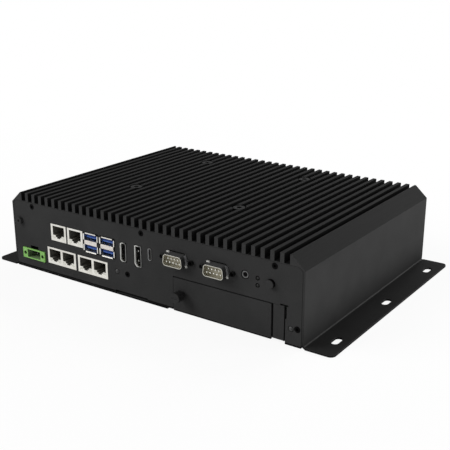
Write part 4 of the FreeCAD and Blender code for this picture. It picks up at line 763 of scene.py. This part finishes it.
def fillKnobSlot():
    size = knobSlot
    middle = centreOf("tray_thumbscrew")
    slotFloor = frontOf("tray_thumbscrew") + size["depth"] * mm
    shiftFaces(edged["tray_thumbscrew"], lambda v: (
        abs(v.y - slotFloor) < size["near"] * mm and abs(v.z - middle.z) < size["halfWidth"] * mm),
        (0, (size["shown"] - size["depth"]) * mm, 0))


fitBay()
sinkFronts()
closeNotches()
fillKnobSlot()
print("fronts fitted")


# stop folded behind the door's right edge, which closes the gap to the eye; its near-black coat is painted
# shade in that gap
doorStop = {"left": 107.2, "right": 109.7, "low": 1.4, "top": 25.2, "front": -95.4, "sheet": 0.5, "fold": 0.9,
            "edge": 0.1}


def bayStop():
    size = doorStop
    wide = size["right"] - size["left"]
    tall = size["top"] - size["low"]
    middle = Vector((size["left"] + wide / 2, size["front"] + size["sheet"] / 2, size["low"] + tall / 2)) * mm
    stop = startBlock("drive_cage_stop", middle, (wide * mm, size["sheet"] * mm, tall * mm))
    openMesh(stop)
    pickFaces(stop, facing((0, 1, 0)))
    bpy.ops.mesh.inset(thickness=size["sheet"] * mm)
    extrude((0, size["fold"] * mm, 0))
    closeMesh()
    roundEdges(stop, size["edge"] * mm)
    settle(stop, "case", blackAndPaintedShade, "black_paint")


bayStop()
print("bay stop folded")

for node, thing in frame["nodes"].items():
    if node not in edgeWidths:
        for place in thing.material_slots:
            place.material = finishOfNode.get(node, finishOfSlot[slotOf[node]])
print("inner pieces finished")


# wide socket screws in the heatsink's pockets, their heads just under the fin tops
clampScrew = {"headRadius": 4.7, "headTop": 61.6, "seat": 55.4, "cadHead": 2.75, "shank": 1.5, "socket": 1.9,
              "socketDepth": 2.4, "edge": 0.35, "sides": 36, "lightFrom": 60.6}


def heatsinkScrews():
    size = clampScrew
    low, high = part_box("heatsink_screws")
    seat = size["seat"] * mm
    master = startRod("clamp_screw", (0, 0, (low.z + seat) / 2), size["shank"] * mm, seat - low.z,
                      size["sides"], 0)
    openMesh(master)
    pickFaces(master, facing((0, 0, 1)))
    extrude((0, 0, 0))
    wider = size["headRadius"] / size["shank"]
    bpy.ops.transform.resize(value=(wider, wider, 1))
    extrude((0, 0, size["headTop"] * mm - seat))
    bpy.ops.mesh.inset(thickness=(size["headRadius"] - size["socket"]) * mm)
    extrude((0, 0, -size["socketDepth"] * mm))
    closeMesh()
    roundEdges(master, size["edge"] * mm)
    inset = size["cadHead"] * mm
    screws = []
    for x in (low.x + inset, high.x - inset):
        for y in (low.y + inset, high.y - inset):
            screws.append(copyAt(master, Matrix.Translation((x, y, 0))))
    dropMaster(master)
    heads = settle(joinAll(screws, "heatsink_screws_finished"), "case", screwBlack, "black_screw",
                   "heatsink_screws")
    # painted light on the heads' tops
    faceFinish(heads, headTopPaintedLight, lambda spot, normal: normal.z > some and spot.z > size["lightFrom"] * mm)


heatsinkScrews()
print("heatsink screws turned")


# spring wires of the network jacks, bent down from the mouth's top
springWire = {"count": 8, "pitch": 1.02, "thick": 0.36, "start": 1.4, "dip": 8.6, "drop": 2.7, "end": 12.6,
              "rise": 1.5, "edge": 0.072, "portPitch": 14.2, "mouthTop": 4.9}


def networkWires():
    size = springWire
    thick = size["thick"] * mm
    master = startBlock("springWire", (0, size["start"] * mm, 0), (thick, thick / 2, thick))
    openMesh(master)
    pickFaces(master, facing((0, 1, 0)))
    extrude((0, (size["dip"] - size["start"]) * mm, -size["drop"] * mm))
    extrude((0, (size["end"] - size["dip"]) * mm, size["rise"] * mm))
    closeMesh()
    roundEdges(master, size["edge"] * mm, 1)
    ports = [("jack_a_shield", 0), ("jack_b_shield", 0)]
    ports += [(node, side) for node in ("twin_jack_a_shield", "twin_jack_b_shield") for side in (-0.5, 0.5)]
    wires = []
    for node, side in ports:
        middle = centreOf(node)
        for i in range(size["count"]):
            x = middle.x + (side * size["portPitch"] + (i - (size["count"] - 1) / 2) * size["pitch"]) * mm
            spot = Vector((x, frontOf(node), middle.z + size["mouthTop"] * mm))
            wires.append(copyAt(master, Matrix.Translation(spot)))
    dropMaster(master)
    settle(joinAll(wires, "network_wires"), "case", gold, "gold_contact", "network_contacts")


networkWires()
print("network wires bent")


# flared lips round the data sockets, with open corners, and the bar between the two mouths
stackLip = {"mouthWidth": 12.6, "mouthHeight": 4.9, "pitch": 8.4, "thick": 0.34, "land": 0.55, "flare": 0.45,
            "forward": 0.18, "bends": (0.3, 0.7), "narrowing": 0.95, "edge": 0.085, "wideLength": 10.6,
            "tallLength": 4.7, "barWidth": 12.4, "barHeight": 3.3, "barProud": 0.35, "barStep": 0.25,
            "barRise": 0.1, "barEdge": 0.1}


def lipMaster(length):
    size = stackLip
    thick = size["thick"] * mm
    land = size["land"] * mm
    lip = startBlock("lip", (0, -thick / 2, land / 2), (length * mm, thick, land))
    openMesh(lip)
    pickFaces(lip, facing((0, 0, 1)))
    for share in size["bends"]:
        extrude((0, -size["forward"] * share * mm, size["flare"] / len(size["bends"]) * mm))
    bpy.ops.transform.resize(value=(size["narrowing"], 1, 1))
    closeMesh()
    roundEdges(lip, size["edge"] * mm)
    return lip


def stackFront(label):
    size = stackLip
    node = f"data_stack_{label}_shield"
    middle = centreOf(node)
    front = frontOf(node)
    wide = lipMaster(size["wideLength"])
    tall = lipMaster(size["tallLength"])
    halfWidth = size["mouthWidth"] / 2 * mm
    halfHeight = size["mouthHeight"] / 2 * mm
    lips = []
    for level in (-1, 1):
        z = middle.z + level * size["pitch"] / 2 * mm
        turn = Matrix.Rotation(math.radians(0 if level > 0 else 180), 4, "Y")
        edge = Vector((middle.x, front, z + level * halfHeight))
        lips.append(copyAt(wide, Matrix.Translation(edge) @ turn))
        for side in (-1, 1):
            turn = Matrix.Rotation(math.radians(90 * side), 4, "Y")
            edge = Vector((middle.x + side * halfWidth, front, z))
            lips.append(copyAt(tall, Matrix.Translation(edge) @ turn))
    dropMaster(wide)
    dropMaster(tall)
    settle(joinAll(lips, f"data_stack_{label}_lips"), "case", nickel, "nickel")
    proud = size["barProud"] * mm
    bar = startBlock(f"data_stack_{label}_bar", (middle.x, front - proud / 2, middle.z),
                     (size["barWidth"] * mm, proud, size["barHeight"] * mm))
    openMesh(bar)
    pickFaces(bar, facing((0, -1, 0)))
    bpy.ops.mesh.inset(thickness=size["barStep"] * mm)
    extrude((0, -size["barRise"] * mm, 0))
    closeMesh()
    roundEdges(bar, size["barEdge"] * mm)
    settle(bar, "case", creamPlastic, "nickel")


for label in pair:
    stackFront(label)
print("data stacks fronted")


# serial pins with round tips, five below and four above
serialPin = {"radius": 0.5, "pitch": 2.77, "tip": 0.4, "tipSteps": 4, "sides": 20, "lower": 5, "upper": 4}


def serialPins():
    size = serialPin
    low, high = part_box("serial_pins")
    radius = size["radius"] * mm
    master = startRod("pin", (0, (low.y + high.y) / 2, 0), radius, high.y - low.y, size["sides"])
    openMesh(master)
    pickFaces(master, facing((0, -1, 0)))
    bpy.ops.mesh.bevel(offset=size["tip"] * mm, segments=size["tipSteps"], affect="EDGES")
    closeMesh()
    pins = []
    for label in pair:
        x = centreOf(f"serial_port_{label}_shell").x
        for count, z in ((size["lower"], low.z + radius), (size["upper"], high.z - radius)):
            for i in range(count):
                spot = Vector((x + (i - (count - 1) / 2) * size["pitch"] * mm, 0, z))
                pins.append(copyAt(master, Matrix.Translation(spot)))
    dropMaster(master)
    settle(joinAll(pins, "serial_pins_finished"), "case", tin, "gold_contact", "serial_pins")


serialPins()
print("serial pins turned")


# grounding bumps at the foot of each serial shell: x and z from its middle, width and height
groundBump = {"upperLeft": (-7.3, 4.45, 2.3, 0.9), "lowerRight": (8.3, -3.5, 0.9, 1.7), "depth": 1.2,
              "y": -97.7, "inset": 0.2, "edge": 0.12}


def groundBumps():
    size = groundBump
    feet = []
    for label in pair:
        middle = centreOf(f"serial_port_{label}_shell")
        for corner in ("upperLeft", "lowerRight"):
            x, z, wide, tall = size[corner]
            spot = Vector((middle.x + x * mm, size["y"] * mm, middle.z + z * mm))
            foot = startBlock("foot", spot, (wide * mm, size["depth"] * mm, tall * mm))
            openMesh(foot)
            pickFaces(foot, facing((0, -1, 0)))
            bpy.ops.mesh.inset(thickness=size["inset"] * mm)
            extrude((0, -size["inset"] * mm, 0))
            closeMesh()
            roundEdges(foot, size["edge"] * mm)
            feet.append(foot)
    # their bright coat is a painted glint
    settle(joinAll(feet, "serial_ground_bumps"), "case", cornerGlint, "nickel")


groundBumps()
print("grounding bumps pressed")


# contact strips on both sides of the upright tongues
tongueStrip = {"pitch": 1.05, "count": 9, "thick": 0.2, "height": 0.5, "length": 5.4, "back": 1.6,
               "out": 0.75, "nose": 0.3, "noseScale": (0.3, 1, 0.6), "edge": 0.05,
               "shellHeight": {"video_socket_a_shell": 14.4, "video_socket_b_shell": 15.9}}


def videoStrips():
    size = tongueStrip
    master = startBlock("strip", (0, (size["back"] + size["length"] / 2) * mm, 0),
                        (size["thick"] * mm, size["length"] * mm, size["height"] * mm))
    openMesh(master)
    pickFaces(master, facing((0, -1, 0)))
    extrude((0, -size["nose"] * mm, 0))
    bpy.ops.transform.resize(value=size["noseScale"])
    closeMesh()
    roundEdges(master, size["edge"] * mm, 1)
    strips = []
    for node, height in size["shellHeight"].items():
        low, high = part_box(node)
        middle = Vector(((low.x + high.x) / 2, frontOf("front_panel"), high.z - height / 2 * mm))
        for side in (-1, 1):
            for i in range(size["count"]):
                rise = (i - (size["count"] - 1) / 2) * size["pitch"]
                spot = middle + Vector((side * size["out"], 0, rise)) * mm
                strips.append(copyAt(master, Matrix.Translation(spot)))
    dropMaster(master)
    settle(joinAll(strips, "video_contacts"), "case", darkNickel, "gold_contact")


videoStrips()
print("video contacts laid")


# two bright springs on the second tongue
tongueSpring = {"rise": 3.6, "wide": 0.6, "tall": 1, "proud": 0.3, "left": 0.35, "step": 0.15, "edge": 0.06}


def videoSprings():
    size = tongueSpring
    low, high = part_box("video_socket_b_shell")
    middle = Vector(((low.x + high.x) / 2, frontOf("video_tongues"), high.z))
    middle.z -= tongueStrip["shellHeight"]["video_socket_b_shell"] / 2 * mm
    springs = []
    for side in (-1, 1):
        spot = middle + Vector((-size["left"] * mm, 0, side * size["rise"] * mm))
        spring = startBlock("spring", spot, (size["wide"] * mm, size["proud"] * mm, size["tall"] * mm))
        openMesh(spring)
        pickFaces(spring, facing((0, -1, 0)))
        bpy.ops.mesh.inset(thickness=size["step"] * mm)
        extrude((0, -size["step"] * mm, 0))
        closeMesh()
        roundEdges(spring, size["edge"] * mm)
        springs.append(spring)
    settle(joinAll(springs, "video_springs"), "case", tin, "gold_contact")


videoSprings()
print("video springs placed")


# threaded ring round the audio socket
audioRing = {"height": 41.1, "inner": 1.75, "outer": 2.5, "proud": 0.35, "bore": 0.315, "rim": 0.2,
             "edge": 0.12, "sides": 40}


def audioFront():
    size = audioRing
    proud = size["proud"] * mm
    z = size["height"] * mm
    x = centreOf("audio_jack").x
    front = frontOf("audio_jack") + sunkFronts["audio_jack"] * mm
    ring = startRod("audio_ring", (x, front - proud / 2, z), size["outer"] * mm, proud, size["sides"])
    openMesh(ring)
    pickFaces(ring, facing((0, -1, 0)))
    bpy.ops.mesh.inset(thickness=(size["outer"] - size["inner"]) * mm)
    extrude((0, size["bore"] * mm, 0))
    closeMesh()
    roundEdges(ring, size["edge"] * mm)
    settle(ring, "case", greyNickel, "nickel")
    # painted shade: the bore's shallow floor near-black
    faceFinish(ring, blackAndPaintedShade, lambda spot, normal: (
        (spot - Vector((x, spot.y, z))).length < (size["inner"] - size["rim"]) * mm))


audioFront()
print("audio ring placed")


# camera at the photograph's viewing angle
view = {"eye": (0.3612, -0.5111, 0.2396), "azimuth": 34.94, "elevation": 18.37, "roll": -0.02, "lens": 66.11,
        "sensor": 36, "near": 0.01}


def placeCamera():
    lensData = bpy.data.cameras.new("camera")
    lensData.lens = view["lens"]
    lensData.sensor_width = view["sensor"]
    lensData.clip_start = view["near"]
    camera = bpy.data.objects.new("camera", lensData)
    bpy.context.scene.collection.objects.link(camera)
    turn = Matrix.Rotation(math.radians(view["azimuth"]), 4, "Z")
    tilt = Matrix.Rotation(math.radians(90 - view["elevation"]), 4, "X")
    roll = Matrix.Rotation(math.radians(view["roll"]), 4, "Z")
    camera.matrix_world = Matrix.Translation(view["eye"]) @ turn @ tilt @ roll
    bpy.context.scene.camera = camera


placeCamera()


# studio: pale floor, white surround, three soft lamps
studio = {"floorSize": 30, "floorDrop": 0.05, "floorTone": grey(0.9), "floorRough": 0.9, "shownWhite": 0.9,
          "fadeFrom": 0.25, "fadeTo": 0.7, "ambient": 0.3, "aim": (0, 0, 0.02),
          "lamps": [("key", (-1.3, -1.2, 1.2), 1.2, 30), ("side", (1.5, 0.8, 0.35), 0.8, 20),
                    ("back", (0.3, 1.5, 1), 1.2, 18)]}


def seenDirectly(tree):
    path = tree.nodes.new("ShaderNodeLightPath")
    seen = Link(tree, path.outputs["Is Camera Ray"]) + Link(tree, path.outputs["Is Glossy Ray"])
    seen = seen + Link(tree, path.outputs["Is Transmission Ray"])
    return seen.node("ShaderNodeClamp", {}, {"Value": seen})


def layFloor():
    bpy.ops.object.select_all(action="DESELECT")
    bpy.ops.mesh.primitive_plane_add(size=studio["floorSize"], location=(0, 0, -studio["floorDrop"] * mm))
    floor = bpy.context.object
    floor.name = "floor"
    material, shader, spot = newFinish("paleFloor", {
        "Base Color": (*studio["floorTone"], 1), "Roughness": studio["floorRough"], "Specular IOR Level": 0})
    tree = material.node_tree
    lit = Link(tree, shader.outputs[0])
    white = lit.node("ShaderNodeEmission", {}, {"Color": (1, 1, 1, 1), "Strength": 1})
    away = band(spot.node("ShaderNodeVectorMath", {"operation": "LENGTH"}, {0: spot}, 1),
                studio["fadeFrom"], studio["fadeTo"])  # only the floor near the object shows its shadow
    shown = seenDirectly(tree) * (studio["shownWhite"] + (1 - studio["shownWhite"]) * away)
    mixed = lit.node("ShaderNodeMixShader", {}, {0: shown, 1: lit, 2: white})
    tree.links.new(mixed.socket, tree.nodes["Material Output"].inputs["Surface"])
    floor.data.materials.append(material)


def setSurround():
    world = bpy.data.worlds.new("surround")
    world.use_nodes = True
    bpy.context.scene.world = world
    background = world.node_tree.nodes["Background"]
    background.inputs["Color"].default_value = (1, 1, 1, 1)
    strength = studio["ambient"] + (1 - studio["ambient"]) * seenDirectly(world.node_tree)
    world.node_tree.links.new(strength.socket, background.inputs["Strength"])


def hangLamps():
    for name, spot, size, power in studio["lamps"]:
        lampData = bpy.data.lights.new(name, "AREA")
        lampData.size = size
        lampData.energy = power
        lamp = bpy.data.objects.new(name, lampData)
        bpy.context.scene.collection.objects.link(lamp)
        lamp.location = spot
        lamp.rotation_euler = (Vector(studio["aim"]) - Vector(spot)).to_track_quat("-Z", "Y").to_euler()


layFloor()
setSurround()
hangLamps()
bpy.context.scene.view_settings.view_transform = "Standard"
print("camera and studio set")
